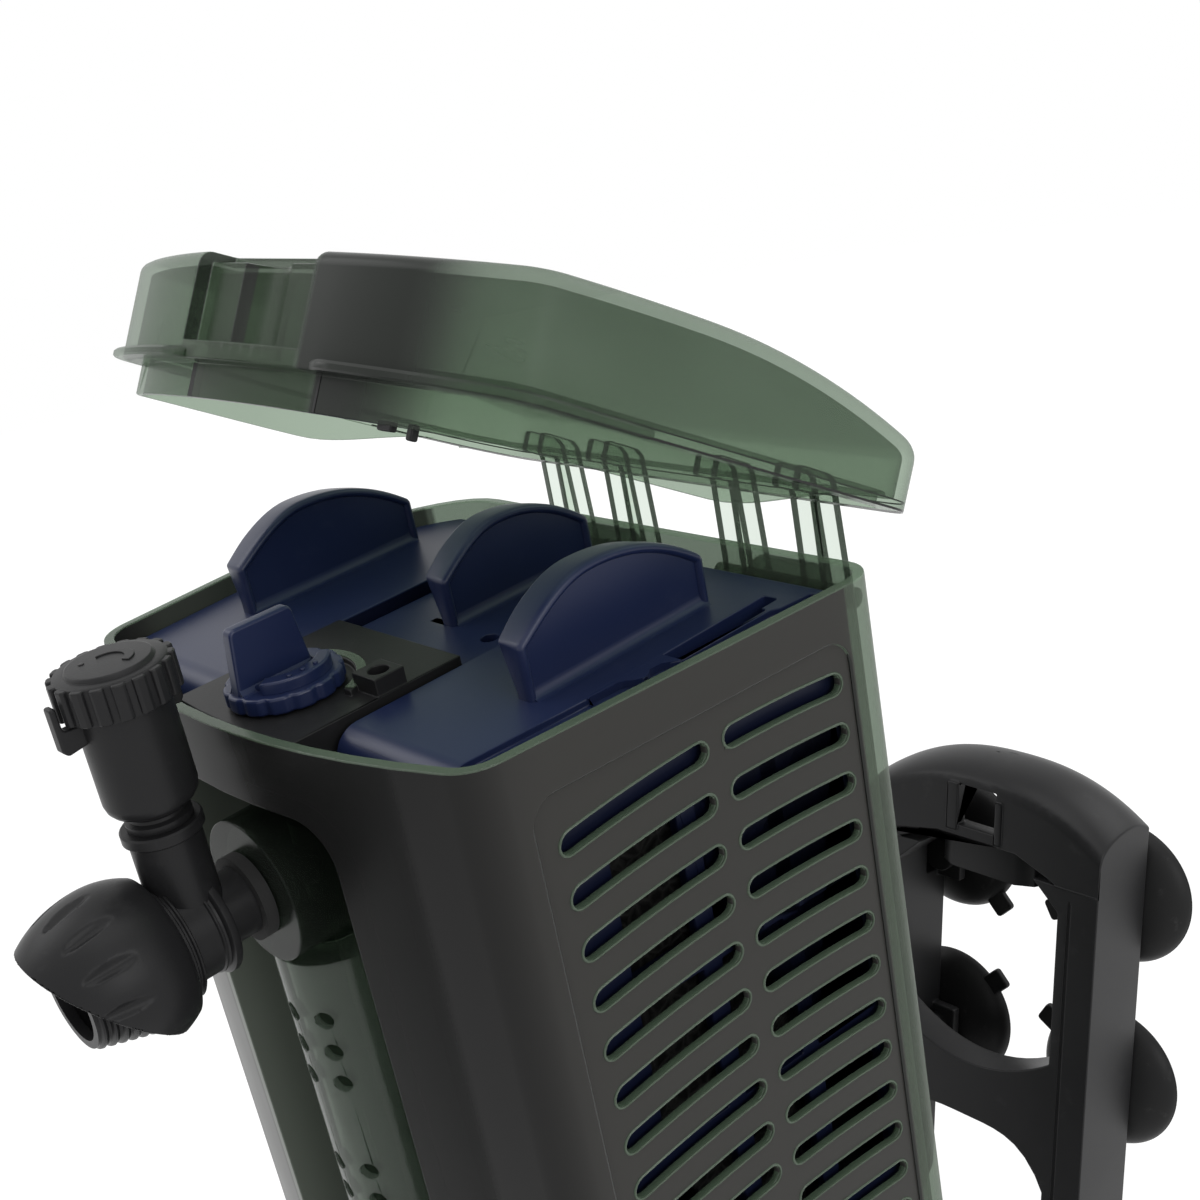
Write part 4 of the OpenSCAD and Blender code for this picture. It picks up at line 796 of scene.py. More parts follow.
teeParts = [
    pipe([(4.5, -68.9), (6.6, -68.9), (6.95, -68.6), (6.95, -68.0), (6.4, -67.7), (6.4, -63.6), (9.9, -63.45),
          (10.2, -63.2), (10.2, -62.85), (9.9, -62.6), (9.9, -62.3), (10.2, -62.1), (10.2, -61.8), (9.95, -61.6),
          (8.9, -61.5), (8.4, -61.2), (8.4, -57.2), (8.7, -57.0), (8.7, -56.7), (8.4, -56.5), (8.5, -56.1),
          (9.2, -55.9), (9.4, -55.7), (9.4, -54.7), (9.2, -54.4), (6.1, -54.4), (6.0, -54.2), (6.0, -41.3),
          (5.7, -41.0), (4.5, -41.0)]),
    turned([(4.4, 247.2), (4.4, 257.6), (4.7, 258.0), (6.3, 258.0), (6.6, 257.7), (6.6, 256.2), (6.3, 255.9),
            (5.8, 255.8), (5.8, 242.0), (4.4, 242.0)], (0, -57.3, 0), "z", 72, looped=True)]
settle(moulded("outletTee", teeParts, blackPlastic, 42), "tee", "black_plastic", "nozzle_tee")

valveLook = {"y": -57.3, "radius": 7.5, "lug": 11.3, "lugBack": 9.3, "lugLow": 274.8}


def lugOutline(v, side):  # the front latch ear hooks round the cap, the back one stays under it
    inner, outer, low = v["radius"] - 1.0, v["lug"] if side < 0 else v["lugBack"], v["lugLow"]
    shape = [(inner, low + 0.6), (outer - 0.8, low), (outer, low + 0.9)]
    shape += [(outer, low + 8.0), (10.25, low + 8.0), (10.2, 278.75)] if side < 0 else [(outer, 278.75)]
    shape = [(v["y"] + side * u, w) for u, w in shape + [(inner, 278.75)]]
    return shape if side > 0 else list(reversed(shape))


valveBody = [
    turned([(1.6, 247.2), (4.1, 247.2), (4.1, 257.5), (5.2, 258.0), (5.3, 258.3), (5.3, 259.3), (4.6, 259.7),
            (4.5, 260.2), (4.9, 260.7), (5.6, 261.0), (6.6, 261.6), (7.2, 262.4), (7.5, 263.6), (7.5, 283.0),
            (3.7, 283.0), (3.7, 275.3), (1.6, 275.3)],
           (0, valveLook["y"], 0), "z", 96, looped=True)]
valveBody += [slab(roundCorners(lugOutline(valveLook, side), 0.7, 3, least=30), -1.2, 1.2, 0.4, "yz")
              for side in (-1, 1)]
settle(moulded("airValveBody", valveBody, blackPlastic, 42), "tee", "black_plastic", "air_valve_body")

capLook = {"radius": 9.7, "low": 279.2, "high": 285.3, "grips": 18, "gripCircle": 9.0, "disc": 6.7}


def ribRing(c):  # the cap's grips stand in a circle about the valve
    shape = roundCorners([(-1.2, -1.08), (0.45, -1.08), (0.7, -0.55), (0.7, 0.55), (0.45, 1.08), (-1.2, 1.08)], 0.3, 2)
    rib = toObject("capRib", meshOf([slab(shape, c["low"] + 0.1, c["high"] - 0.15, 0.3)]), [blackPlastic])
    ribs = grow(roundCircle, "capRibs", {"Piece": rib, "Count": c["grips"], "Radius": c["gripCircle"] * mm,
                                         "Centre": (0, valveLook["y"] * mm, 0), "Finish": blackPlastic})
    bpy.data.objects.remove(rib)
    return ribs


def airCapSkin(c):  # with a plain crescent and a dot raised on its top
    top = c["high"]
    shell = turned([(7.6, c["low"]), (9.0, c["low"]), (9.1, c["low"] + 0.4), (9.0, top - 0.5), (8.6, top), (7.0, top),
                    (6.95, top + 0.05), (c["disc"], top + 0.6), (c["disc"] - 0.3, top + 0.7), (0, top + 0.7),
                    (0, 284.0), (7.6, 284.0)], (0, valveLook["y"], 0), "z", 96)
    mark = arc(0.6, valveLook["y"] + 0.4, 3.4, 20, 200, 14) + arc(0.2, valveLook["y"] - 0.3, 2.7, 190, 30, 12)
    dot = slab(arc(-2.6, valveLook["y"] - 3.2, 0.5, 0, 330, 9), top + 0.5, top + 0.85, 0.1)
    return moulded("capSkin", [shell, slab(mark, top + 0.5, top + 0.95, 0.12), dot], blackPlastic)


settle(joined("airCapGrip", [airCapSkin(capLook), ribRing(capLook)]), "air_cap", "black_plastic", "air_valve_cap")
print("dial, tee and valve ready")

for node, name in (("foam_pad_right", "rightPad"), ("foam_pad_left", "leftPad")):
    settle(foamPad(node, name), "filter", "foam", node)

ringLook = {"outer": 6.95, "inner": 3.4, "tall": 13.9, "rows": 12, "lift": 14.4, "x": 7.3, "y": 3.4, "apart": 14.6,
            "low": 46.3}


def mediaRings(r):  # ceramic rings stacked in six columns
    o, i, h = r["outer"], r["inner"], r["tall"]
    profile = [(i, 0.7), (i + 0.5, 0.1), (o - 0.7, 0.05), (o, 0.8), (o - 0.1, h * 0.5), (o, h - 0.8),
               (o - 0.7, h - 0.05), (i + 0.5, h - 0.1), (i, h - 0.7), (i + 0.1, h * 0.5)]
    one = toObject("ringOne", meshOf([turned(profile, segments=28, looped=True)]), [ringCeramic])
    stacks = []
    for side in (-1, 1):
        for k in range(3):
            start = (side * r["x"] * mm, (r["y"] + k * r["apart"]) * mm, r["low"] * mm)
            stacks.append(grow(alongLine, "ringStack", {"Piece": one, "Count": r["rows"], "Start": start,
                                                        "Turn": (0, 0, 0), "Step": (0, 0, r["lift"] * mm),
                                                        "Finish": ringCeramic}))
    bpy.data.objects.remove(one)
    return joined("ceramicRings", stacks)


settle(mediaRings(ringLook), "filter", "ceramic_rings", "media_rings")
print("pads and rings ready")

headLook = {"radius": 14.3, "length": 17.5, "centre": -71.2, "back": -63.7, "wall": 1.6, "bore": 6.5,
            "dimple": 0.9, "dimpleWide": 1.05, "dimpleLong": 4.2, "dimpleAt": -4.6, "dimpleTurn": 27.7, "round": 220}


def dimpled(h, angle, y, radius):  # how far the skin sinks at an angle from the top and a distance from the centre
    sink = 0.0
    for k in range(-3, 4):
        u = radius * (angle - math.radians(k * h["dimpleTurn"] + 0.5)) / h["dimpleWide"]
        v = (y - h["dimpleAt"]) / h["dimpleLong"]
        q = 1 - u * u - v * v
        if q > 0:
            sink += h["dimple"] * q ** 0.6 * (0.85 - 0.2 * v)
    return sink


def headShell(h):
    rows = [(h["bore"], h["back"] - h["centre"], 0), (math.sqrt(h["radius"] ** 2 - 7.5 ** 2) - 0.5, 7.5, 0)]
    rows += [(math.sqrt(h["radius"] ** 2 - t * t), t, 1) for t in np.linspace(7.2, 0, 9)]
    rows += [(h["radius"] * math.cos(a), -h["length"] * math.sin(a), 1)
             for a in np.linspace(0, math.pi / 2, 64)[1:-1]]
    rows.append((0, -h["length"], 0))
    inner, depth = h["radius"] - h["wall"], h["length"] - h["wall"]
    rows.append((0, -depth, 0))
    rows += [(inner * math.cos(a), -depth * math.sin(a), 0) for a in np.linspace(math.pi / 2, 0, 16)[1:]]
    rows += [(math.sqrt(inner ** 2 - 3.8 ** 2), 3.8, 0), (h["bore"], 3.8, 0)]
    rings = []
    for radius, y, skin in rows:
        ring = []
        for k in range(h["round"] if radius > 0 else 1):
            angle = 2 * math.pi * k / h["round"]
            near = angle if angle < math.pi else angle - 2 * math.pi
            r = radius - (dimpled(h, near, y, radius) if skin else 0)
            ring.append((r * math.sin(angle), h["centre"] + y, 238 + r * math.cos(angle)))
        rings.append(ring)
    return ringSkin(rings, looped=True)


headTurn = Matrix.Translation((0, 0, 238)) @ Matrix.Rotation(math.radians(10), 4, "Y")
mouth = slab([(-66.2, -40), (-66.2, -9.9), (-95, 19.3), (-95, -40)][::-1], -25, 25, 0, "yz", steps=1)
head = cut(toObject("nozzleHood", meshOf([headShell(headLook)]), [blackPlastic]), [mouth], place=headTurn)
settle(smoothed(head, 0.22, 2, angle=50, sharp=45), "head", "black_plastic", "nozzle_head")

linerLook = {"count": 6, "pitch": 1.7, "rise": 0.646, "start": (0.0, -69.4, -4.0), "outer": 8.6, "inner": 6.6,
             "ears": 10.3}


def ribbedLiner(n):
    o, i = n["outer"], n["inner"]
    profile = [(i, 0), (o - 0.65, 0), (o - 0.6, -0.15), (o - 0.12, -0.35), (o, -0.62), (o - 0.12, -0.95),
               (o - 0.6, -1.2), (o - 0.65, -1.705), (i, -1.705)]
    rib = toObject("linerRib", meshOf([turned(profile, (0, 0, 0), "y", 72, looped=True)]), [blackPlastic])
    ribs = grow(alongLine, "linerRibs", {"Piece": rib, "Count": n["count"], "Start": [v * mm for v in n["start"]],
                                         "Step": (0, -n["pitch"] * mm, n["rise"] * mm), "Turn": (0, 0, 0),
                                         "Finish": blackPlastic})
    bpy.data.objects.remove(rib)
    ears = [block((side * n["ears"] - 2.1, -71.8, -1.5), (side * n["ears"] + 2.1, -70.0, 0.5)) for side in (-1, 1)]
    ears = toObject("linerEars", meshOf(ears), [blackPlastic])
    whole = joined("ribbedLiner", [ribs, ears])
    whole.data.transform(Matrix.Scale(mm, 4) @ headTurn @ Matrix.Scale(1 / mm, 4))
    return whole


settle(ribbedLiner(linerLook), "head", "black_plastic", "nozzle_insert")
print("nozzle ready")

bracketTurn = Matrix.Translation((0, 127.6, 12)) @ Matrix.Rotation(math.radians(-13.1), 4, "X")
cupLook = {"radius": 19.5, "base": 16.4, "depth": 8.2, "wall": 1.6, "x": 25.5, "low": 60.0, "high": 114.0,
           "tabs": {-1: (-45, 17.6, 24.0), 1: (30, -24.0, -17.6)}}


def suctionCup(name, node, side, z):
    c = cupLook
    outer = [(c["radius"] * math.sin(a), c["base"] + c["depth"] * (1 - math.cos(a)))
             for a in np.linspace(0, math.pi / 2, 26)]
    lip = c["base"] + c["depth"]
    inner = [((c["radius"] - c["wall"]) * math.sin(a), c["base"] + 1.8 + (c["depth"] - 1.8) * (1 - math.cos(a)))
             for a in np.linspace(math.pi / 2, 0, 18)]
    outer[-1:] = [(c["radius"], lip - 0.7), (c["radius"] - 0.1, lip - 0.25), (c["radius"] - 0.4, lip)]
    dome = turned([(r, y) for r, y in outer + inner], (side * c["x"], 0, z), "y", 96)
    neck = [(0, 9.9), (4.4, 9.9), (4.7, 10.2), (4.7, 11.9), (4.4, 12.3), (3.5, 12.4), (3.5, 17.2), (0, 17.2)]
    neck = turned(neck, (side * (c["x"] - 2), 0, z), "y", 48)
    lean, low, high = c["tabs"][side]  # the tab's turn round the cup and its near and far end
    turn = math.radians(-lean if z == c["high"] else lean)
    tab = slab(roundCorners([(low, -3), (high, -3), (high, 3), (low, 3)], 1.2, 4), lip - 2.6, lip - 0.4, 0.6, "xz")
    place = Matrix.Translation((side * c["x"], 0, z)) @ Matrix.Rotation(turn, 4, "Y")
    tab = ([tuple(place @ Vector(v)) for v in tab[0]], tab[1])
    settle(moulded(name, [dome, neck, tab], cupRubber, 50, bracketTurn), "bracket", "rubber", node)


for level, z in (("Upper", cupLook["high"]), ("Lower", cupLook["low"])):
    for hand, side in (("Left", -1), ("Right", 1)):
        suctionCup("cup" + level + hand, "suction_cup_" + level.lower() + "_" + hand.lower(), side, z)

archLook = {"half": 36.0, "front": -8.0, "back": 16.0, "high": 150.5, "sideDrop": 11.0, "power": 2.4, "frontFall": 7.0,
            "backFall": 2.5, "crest": 0.62, "low": 124.0, "rail": 25.0, "band": 21.0, "latch": 138.5, "window": 5.6,
            "curtain": 119.0}


def archFrame():  # the legs of the solid with a domed arch set on them
    a = archLook
    legs = cadCopy("bracket_frame", "archLegs", [blackPlastic], 0)
    cut(legs, [block((-40, -12, a["low"] + 0.6), (40, 20, 160))], place=bracketTurn)
    across = np.linspace(-a["half"], a["half"], 49)
    rings = []
    for t in list(np.linspace(0, 0.3, 9)) + list(np.linspace(0.35, 1, 12)):
        u = 1 - t / a["crest"] if t < a["crest"] else (t - a["crest"]) / (1 - a["crest"])
        fall = a["frontFall"] * (1 - math.sqrt(max(0.0, 1 - u * u))) if t < a["crest"] else a["backFall"] * u * u
        y = a["front"] + (a["back"] - a["front"]) * t
        top = [(x, y, a["high"] - a["sideDrop"] * (abs(x) / a["half"]) ** a["power"] - fall) for x in across]
        under = [(a["half"], a["low"]), (a["rail"], a["low"]), (a["rail"] - 3, a["low"] + 1.5),
                 (12, a["high"] - a["band"])]
        under += [(-u, w) for u, w in reversed(under)]
        rings.append(top + [(u, y, w) for u, w in under])
    dome = ringSkin(rings)
    w, z = a["window"], a["latch"]
    latchFrame = [block((-w - 3.4, a["front"] - 0.4, z - w - 1.6), (-w, a["front"] + 9, z + w + 0.4)),
                  block((w, a["front"] - 0.4, z - w - 2.6), (w + 2.2, a["front"] + 9, z + w - 2.0))]
    arch = toObject("archFrame", meshOf([dome]), [blackPlastic], bracketTurn)
    cut(arch, latchFrame, "UNION", bracketTurn)
    hollow = [(-a["rail"], a["low"] - 2), (a["rail"], a["low"] - 2), (25, a["high"] - 14), (0, a["high"] - 4.5),
              (-25, a["high"] - 14)]
    hollow = slab(hollow, -4.6, 20, 0, "xz", steps=1)
    cut(arch, [hollow, block((-w, a["front"] - 2, z - w), (w, a["front"] + 12, z + w))], "DIFFERENCE", bracketTurn)
    cutWith(arch, legs, "UNION")
    bpy.data.objects.remove(legs)
    planed(arch)
    curtain = [(-17, 7), (-14.5, 7), (-12, 0.6), (-8.5, -1.4), (8.5, -1.4), (12, 0.6), (14.5, 7), (17, 7), (14, -1),
               (9.5, -3.6), (-9.5, -3.6), (-14, -1)]
    curtain = slab(curtain, a["curtain"], a["low"] + 8, 0.2)
    cut(arch, [curtain], "UNION", bracketTurn)
    grooves = [block((x - 0.3, a["front"] - 1, 14), (x + 0.3, a["front"] + 0.5, a["low"] - 3)) for x in (-28.2, 28.2)]
    cut(arch, grooves, "DIFFERENCE", bracketTurn)
    return smoothed(arch, 0.45, 2, angle=36)


settle(archFrame(), "bracket", "black_plastic", "bracket_frame")
settle(cadCopy("bracket_hook", "archHook", [blackPlastic], 0.3), "hook", "black_plastic", "bracket_hook")
print("bracket and cups ready")

for nodeName, name, slotName, finish, edge in (
        ("outlet_drum", "clearDrum", "smoked_drum", smokedDrum, 0.3),
        ("spray_column", "sprayTube", "smoked_drum", smokedTube, 0.25),
        ("flow_column", "deckColumn", "black_plastic", blackPlastic, 0.25),
        ("base_tray", "baseTray", "black_plastic", blackPlastic, 0.3),
        ("spray_plug", "sprayPlug", "black_plastic", blackPlastic, 0.3)):
    settle(cadCopy(nodeName, name, [finish], edge), "filter", slotName, nodeName)


def casingShell():
    shell = cadCopy("casing", "casingShell", [smokedShell, smokedRim], 0.28)
    for face in shell.data.polygons:
        x, z = face.center.x / mm, face.center.z / mm
        onRim = z > 269.55
        # the slots' upper and lower walls take the pale rim finish as a painted highlight
        onSlot = abs(x) > 44 and 20 < z < 262 and abs(face.normal.x) < 0.6 and abs(face.normal.z) > 0.3
        face.material_index = 1 if onRim or onSlot else 0
    return shell


settle(casingShell(), "filter", "smoked_shell", "casing")
print("casing ready")

planLook = {"half": 59.65, "front": -46.0, "back": 46.0, "taper": 0.105, "bow": 155.0, "corner": 6.5, "backRound": 6.0,
            "sweepWide": 25.0, "sweepLong": 50.0}


def between(a, b, count):
    return [(a[0] + (b[0] - a[0]) * i / count, a[1] + (b[1] - a[1]) * i / count) for i in range(1, count)]


def planLine(e):  # plan outline of the box, drawn in by e
    p, corner = planLook, planLook["corner"]
    slant, turn = math.hypot(1, p["taper"]), math.degrees(math.atan(p["taper"]))
    bowY, backY, sweepY = p["front"] + p["bow"], p["back"] - p["backRound"], p["back"] - p["sweepLong"]
    backX = p["half"] + p["taper"] * backY - p["backRound"] * slant
    sweepX = p["sweepWide"] - (p["half"] + p["taper"] * sweepY)
    reach = p["half"] - corner * slant
    b, c = 2 * reach * p["taper"] - 2 * bowY, reach ** 2 + bowY ** 2 - (p["bow"] - corner) ** 2
    y = (-b - math.sqrt(b * b - 4 * slant ** 2 * c)) / (2 * slant ** 2)
    x = reach + p["taper"] * y
    lean = math.degrees(math.atan2(y - bowY, x))
    sweep = []
    for a in np.radians(np.linspace(90, 180, 31)):
        nx, ny = math.cos(a) / p["sweepWide"], math.sin(a) / p["sweepLong"]
        n = math.hypot(nx, ny)
        sweep.append((sweepX + p["sweepWide"] * math.cos(a) - e * nx / n,
                      sweepY + p["sweepLong"] * math.sin(a) - e * ny / n))
    front = arc(0, bowY, p["bow"] - e, -180 - lean, lean, 36)
    rightFront = arc(x, y, corner - e, lean, -turn, 9)
    rightBack = arc(backX, backY, max(p["backRound"] - e, 0.6), -turn, 90, 9)
    leftFront = arc(-x, y, corner - e, 180 + turn, 180 - lean, 9)
    rightSide, backSide = between(rightFront[-1], rightBack[0], 26), between(rightBack[-1], sweep[0], 20)
    leftSide = between(sweep[-1], leftFront[0], 10)
    return front + rightFront[1:] + rightSide + rightBack + backSide + sweep + leftSide + leftFront[:-1]


def wallSpot(side, y, e):  # point of the box's side at y, drawn in by e
    p = planLook
    sweepY = p["back"] - p["sweepLong"]
    if side < 0 and y > sweepY:
        t = (y - sweepY) / p["sweepLong"]
        away = math.sqrt(1 - t * t)
        x = p["sweepWide"] * (1 - away) - (p["half"] + p["taper"] * sweepY)
        nx, ny = -away / p["sweepWide"], t / p["sweepLong"]
    else:
        x, nx, ny = side * (p["half"] + p["taper"] * y), side, -p["taper"]
    n = math.hypot(nx, ny)
    return x - e * nx / n, y - e * ny / n


slotLook = {"rows": 21, "pitch": 9.26, "top": 255.0, "tall": 3.7, "sink": 0.6, "spans": ((8.5, 34.2), (-24.0, 5.0)),
            "panel": (-28.0, 36.5, 63.8, 261.5), "panelRound": 5.0, "fall": 3.0,
            "lip": [(0.0, -1.1), (0.0, 0.1), (0.08, 0.22), (0.22, 0.26), (0.38, 0.18), (0.48, 0.0), (0.48, -1.1)],
            "line": [(-0.2, -0.4), (-0.2, 0.32), (0.1, 0.56), (0.5, 0.56), (0.7, 0.3), (0.7, -0.4)]}


def wallRing(side, line, section):  # a closed bead along a line in the (y, z) plane, bent to the wall
    rings = []
    for out, up in section:
        rings.append([(*wallSpot(side, y, slotLook["sink"] - up), z) for y, z in inset(line, -out)])
    return ringSkin(rings, looped=True)


def slotLips():
    s, r = slotLook, slotLook["tall"] / 2
    columns = []
    for side in (-1, 1):
        for y0, y1 in s["spans"]:
            near, far = arc(y1 - r, s["top"], r, -90, 90, 8), arc(y0 + r, s["top"], r, 90, 270, 8)
            line = near + between(near[-1], far[0], 8) + far + between(far[-1], near[0], 8)
            line = [(y, z - s["fall"] * ((y - 12) / 36) ** 2) for y, z in line]
            # the lips take the pale rim finish as a painted highlight
            lip = toObject("slotLip", meshOf([wallRing(side, line, s["lip"])]), [smokedRim])
            columns.append(grow(alongLine, "lipColumn", {"Piece": lip, "Count": s["rows"], "Start": (0, 0, 0),
                                                         "Step": (0, 0, -s["pitch"] * mm), "Turn": (0, 0, 0),
                                                         "Finish": smokedRim}))
            bpy.data.objects.remove(lip)
    return joined("slotLips", columns)


def panelLines():
    y0, y1, z0, z1 = slotLook["panel"]
    corners = [(y0, z0), (y1, z0), (y1, z1), (y0, z1)]
    rounded = roundCorners(corners, slotLook["panelRound"], 6)
    line = []
    for k, here in enumerate(rounded):
        after = rounded[(k + 1) % len(rounded)]
        line += [here] + (between(here, after, 20) if math.dist(here, after) > 20 else [])
    return moulded("panelLines", [wallRing(side, line, slotLook["line"]) for side in (-1, 1)], smokedEdge)


def deckTrim():  # the half ring's pale crest, a painted highlight
    ring = arc(0, dialLook["y"], 13.4, 22, 158, 30) + arc(0, dialLook["y"], 11.7, 158, 22, 30)
    return smoothed(toObject("deckTrim", meshOf([slab(ring, 268.9, 269.25, 0.12, steps=2)]), [smokedRim]), sharp=40)


settle(deckTrim(), "filter", "smoked_shell")
settle(slotLips(), "filter", "smoked_shell")
settle(panelLines(), "filter", "smoked_shell")
print("slot lips ready")

lidLook = {"crown": 19.6, "frontFall": 1.4, "backFall": 9.0, "peak": -5.0, "base": 270.3, "over": 1.2, "wall": 2.0,
           "fillet": 2.4, "notchHalf": 17.0, "scoop": 10.833, "scoopY": -52.033, "skirtLow": 264.5, "skirtFrom": 4.0,
           "skirtTo": 36.0, "ledge": 1.8, "ledgeThick": 1.6, "open": 30.5, "hinge": (0.0, 60.0, 255.3),
           "armX": (-19.5, 29.5), "armAt": (6.6, 11.2), "armThick": 1.6, "armRound": 4.2}
lidTurn = (Matrix.Translation(lidLook["hinge"]) @ Matrix.Rotation(math.radians(-lidLook["open"]), 4, "X")
           @ Matrix.Translation(Vector(lidLook["hinge"]) * -1))


def lidTop(y):
    d = lidLook
    front, back = d["frontFall"] * ((d["peak"] - y) / 41) ** 2, d["backFall"] * ((y - d["peak"]) / 51) ** 2
    return 270 + d["crown"] - (front if y < d["peak"] else back)


def lidSkin(e, drop, fillet):  # rings from the rim up over the edge to the middle of the top
    d = lidLook
    rings = [[(x, y, d["base"]) for x, y in planLine(e)]]
    for a in np.linspace(0, math.pi / 2, 7):
        line = planLine(e + fillet * (1 - math.cos(a)))
        rings.append([(x, y, lidTop(y) - drop - fillet * (1 - math.sin(a))) for x, y in line])
    edge = planLine(e + fillet)
    for share in (0.93, 0.84, 0.72, 0.58, 0.43, 0.28, 0.14):
        rings.append([(x * share, -2 + (y + 2) * share, lidTop(-2 + (y + 2) * share) - drop) for x, y in edge])
    rings.append([(0.0, -2.0, lidTop(-2.0) - drop)])
    return rings


def ledgePart(path, outs, near, far):  # ledge of the rim with a rounded near end and a tapering far end
    d = lidLook
    rings, run = [], 0.0
    total = sum((Vector(path[i + 1]) - Vector(path[i])).length for i in range(len(path) - 1))
    for i, (x, y) in enumerate(path):
        if i:
            run += (Vector(path[i]) - Vector(path[i - 1])).length
        left = total - run
        rounding = math.sqrt(max(0.02, 1 - max(0.0, 1 - run / near) ** 2))
        reach = d["ledge"] * min(1.0, rounding) * min(1.0, 0.04 + left / far)
        o, thick = Vector(outs[i]), d["ledgeThick"]
        shape = [(-1.4, 0), (reach - 0.35, 0), (reach, 0.3), (reach, thick - 0.5), (reach - 0.45, thick), (-1.4, thick)]
        rings.append([(x + o.x * u, y + o.y * u, d["base"] + w) for u, w in shape])
    return ringSkin(rings)


def bent(name, parts, finishes):  # drawn closed, then swung open with the lid
    return smoothed(toObject(name, meshOf(parts), finishes, lidTurn), 0.0, 2, angle=40, sharp=40)


def lidShell():  # cut while it is still drawn closed and in millimetres, then swung open
    d = lidLook
    outer, inner = lidSkin(-d["over"], 0.0, d["fillet"]), lidSkin(d["wall"] - d["over"], d["wall"], 0.9)
    shell = toObject("lidShell", meshOf([ringSkin(outer + inner[::-1], looped=True)]), [], scale=1.0)
    solid = toObject("lidSolid", meshOf([ringSkin(outer)]), [], scale=1.0)
    half, lump = d["notchHalf"] + 1.4, d["base"] + 0.1

    def scoop(grow, low, high):  # round recess that clears the valve's cap
        radius = d["scoop"] + grow
        return turned([(0, low), (radius, low), (radius, high), (0, high)], (0, d["scoopY"], 0), "z", 96)

    boss = toObject("lidBoss", meshOf([block((-half, -48, lump), (half, -42.2, 300))]), [], scale=1.0)
    cut(boss, [block((-half, -48, 285.35), (half, -38.2, 300)), scoop(1.0, 271.9, 300)], "UNION", scale=1.0)
    cutWith(boss, solid, "INTERSECT")
    cutWith(shell, boss, "UNION")
    corners = ((-0.8, 270.3), (-0.8, 272.3), (3.5, 272.3), (3.5, 270.3))
    ring = ringSkin([[(x, y, z) for x, y in planLine(e)] for e, z in corners], looped=True)
    skirt = []
    for e, top in ((2.3, False), (2.3, True), (3.5, True), (3.5, False)):
        line = []
        for x, y in planLine(e):
            t = min(1.0, max(0.0, (y - d["skirtFrom"]) / (d["skirtTo"] - d["skirtFrom"])))
            line.append((x, y, 273.2 if top else d["skirtLow"] + (271.0 - d["skirtLow"]) * t * t * (3 - 2 * t)))
        skirt.append(line)
    cut(shell, [ring, ringSkin(skirt, looped=True)], "UNION", scale=1.0)
    notch = d["notchHalf"]
    cut(shell, [block((-notch, -52, 273.3), (notch, -43.6, 301)), block((-notch, -52, 286.75), (notch, -39.6, 301)),
                scoop(0.0, 273.3, 301)], scale=1.0)
    bpy.data.objects.remove(boss)
    bpy.data.objects.remove(solid)
    shell.data.transform(Matrix.Scale(mm, 4) @ lidTurn)
    for finish in (smokedLid, smokedEdge):
        shell.data.materials.append(finish)
    smoothed(shell, 0.3, 2, angle=50, sharp=38)
    back = lidTurn.inverted()
    for face in shell.data.polygons:  # the recess's left wall and one stripe of the scoop take the dark finish as painted shade
        x, y, z = back @ (face.center / mm)
        wall = face.normal.x > 0.75 and abs(x + notch) < 0.6
        stripe = face.normal.x > 0.45 and -8 < x < -4.6 and y < -39
        face.material_index = 1 if z > 273 and (wall or stripe) else 0
    return shell


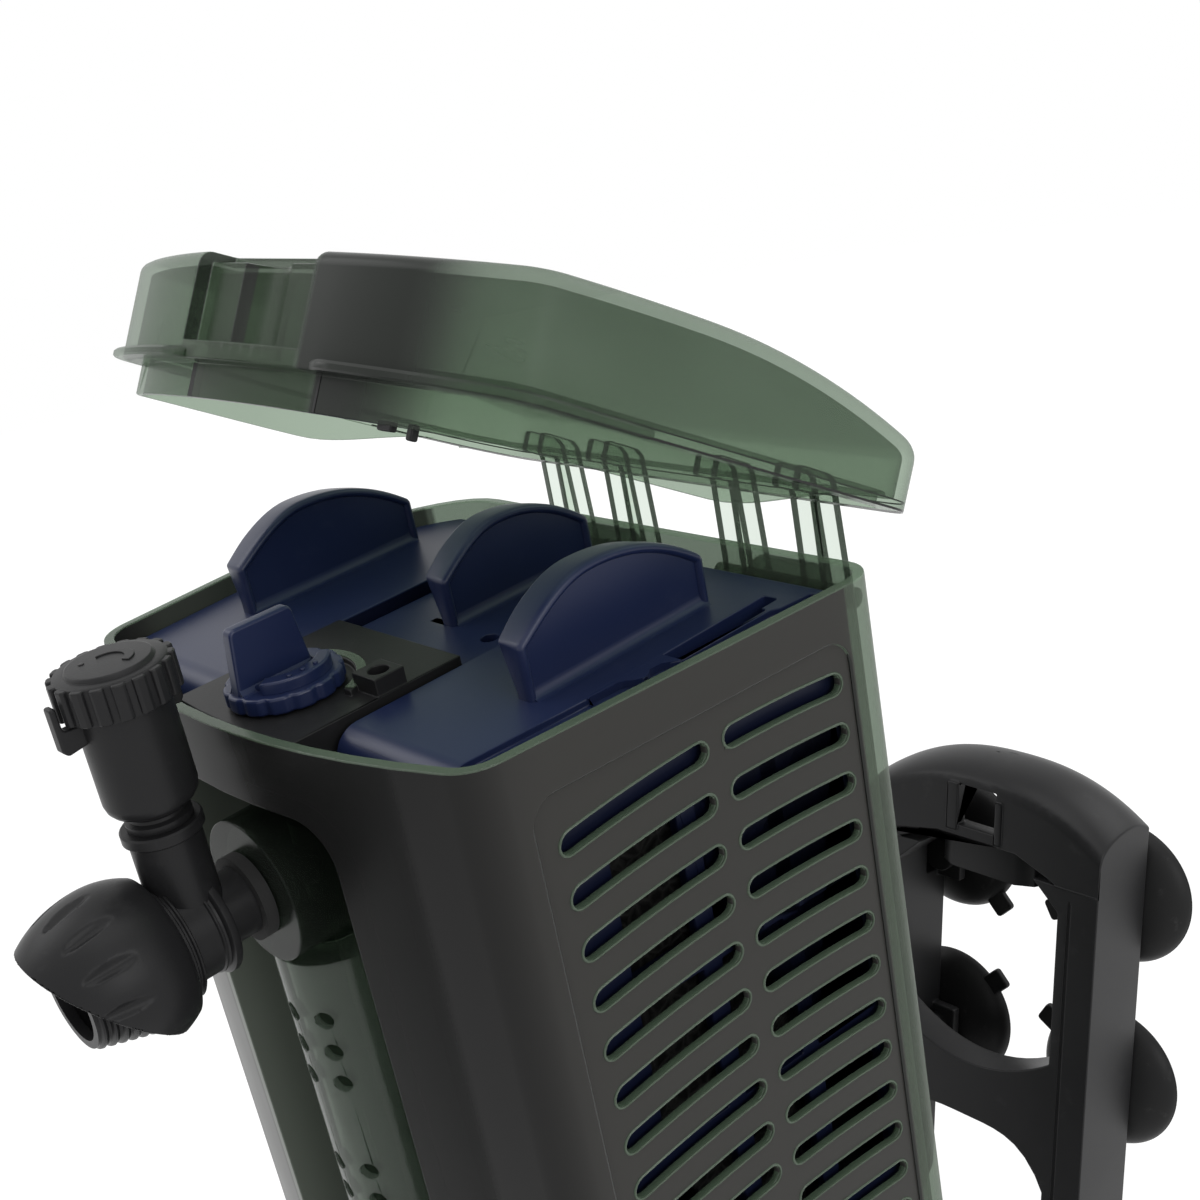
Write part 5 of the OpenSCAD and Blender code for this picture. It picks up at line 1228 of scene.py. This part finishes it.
def lidFittings():
    d = lidLook
    near, out = planLine(-d["over"]), planLine(-d["over"] - 1)
    outs = [(b[0] - a[0], b[1] - a[1]) for a, b in zip(near, out)]
    count = len(near)
    parts = []
    rightRun = [i for i in range(count) if near[i][0] > d["notchHalf"] + 1.4 and near[i][1] < -12]
    leftRun = [i for i in range(count) if near[i][0] < -14.8 and near[i][1] < -14]
    for run, reverse in ((rightRun, False), (leftRun, True)):
        run = sorted(run, key=lambda i: (i + count // 2) % count) if reverse else sorted(run)
        run = run[::-1] if reverse else run
        parts.append(ledgePart([near[i] for i in run], [outs[i] for i in run], 2.2, 20.0))
    arm = arc(*d["hinge"][1:], d["armRound"], -110, 30, 12)
    arm += [(52.4, 275), (50.5, 276), (42, 276), (42, 271.6), (47.2, 271.6), (55.8, 256.9)]
    arm = roundCorners(arm, 0.8, 2, least=35)
    for x in d["armX"]:
        for at in d["armAt"]:
            for low in (x + at, x - at - d["armThick"]):
                parts.append(slab(arm, low, low + d["armThick"], 0.3, "yz"))
    fittings = bent("lidFittings", parts, [smokedLid, smokedClear, smokedEdge])
    for face in fittings.data.polygons:  # the arms' flat sides let the most light through, their rims the least
        if face.center.y > 0.02:
            face.material_index = 1 if abs(face.normal.x) > 0.95 else 2
    return fittings


trimLook = {"seams": ((-17.5, 0.75), (18.9, 0.28)), "shadows": ((-1.02, 270.5, 0.2), (-0.95, 271.9, 0.12)),
            "clips": ((31.2, 34.6, 32, 0.7, 2.0, 263.7, 265.2), (37.0, 38.3, 38, 0.4, 1.8, 262.9, 265.3))}


def seamY(x):  # the skirt's front bows out in the middle
    return -43.7 + x * x / 305.0


def lidTrim():  # dark seams of the skirt, the two small clips under it and thin shadow lines along the rim
    parts = [block((x - w, seamY(x) - 0.05, 264.6), (x + w, seamY(x) + 1.3, 270.2)) for x, w in trimLook["seams"]]
    for left, right, x, front, back, low, high in trimLook["clips"]:
        parts.append(block((left, seamY(x) + front, low), (right, seamY(x) + back, high), 0.3))
    trim = bent("lidTrim", parts, [blackPlastic])
    lines = []
    for e, z, wide in trimLook["shadows"]:
        run = [p for p in planLine(e) if p[0] > 18 or p[1] > 20]
        square = ((-wide, 0, -wide), (wide, 0, -wide), (wide, 0, wide), (-wide, 0, wide))
        lines.append(ringSkin([[(x + u, y + v, z + w) for u, v, w in square] for x, y in run]))
    return joined("lidTrim", [trim, bent("rimLines", lines, [smokedEdge])])


settle(lidShell(), "lid", "smoked_lid", "lid")
settle(lidFittings(), "lid", "smoked_lid")
settle(lidTrim(), "lid", "black_plastic")
print("lid ready")
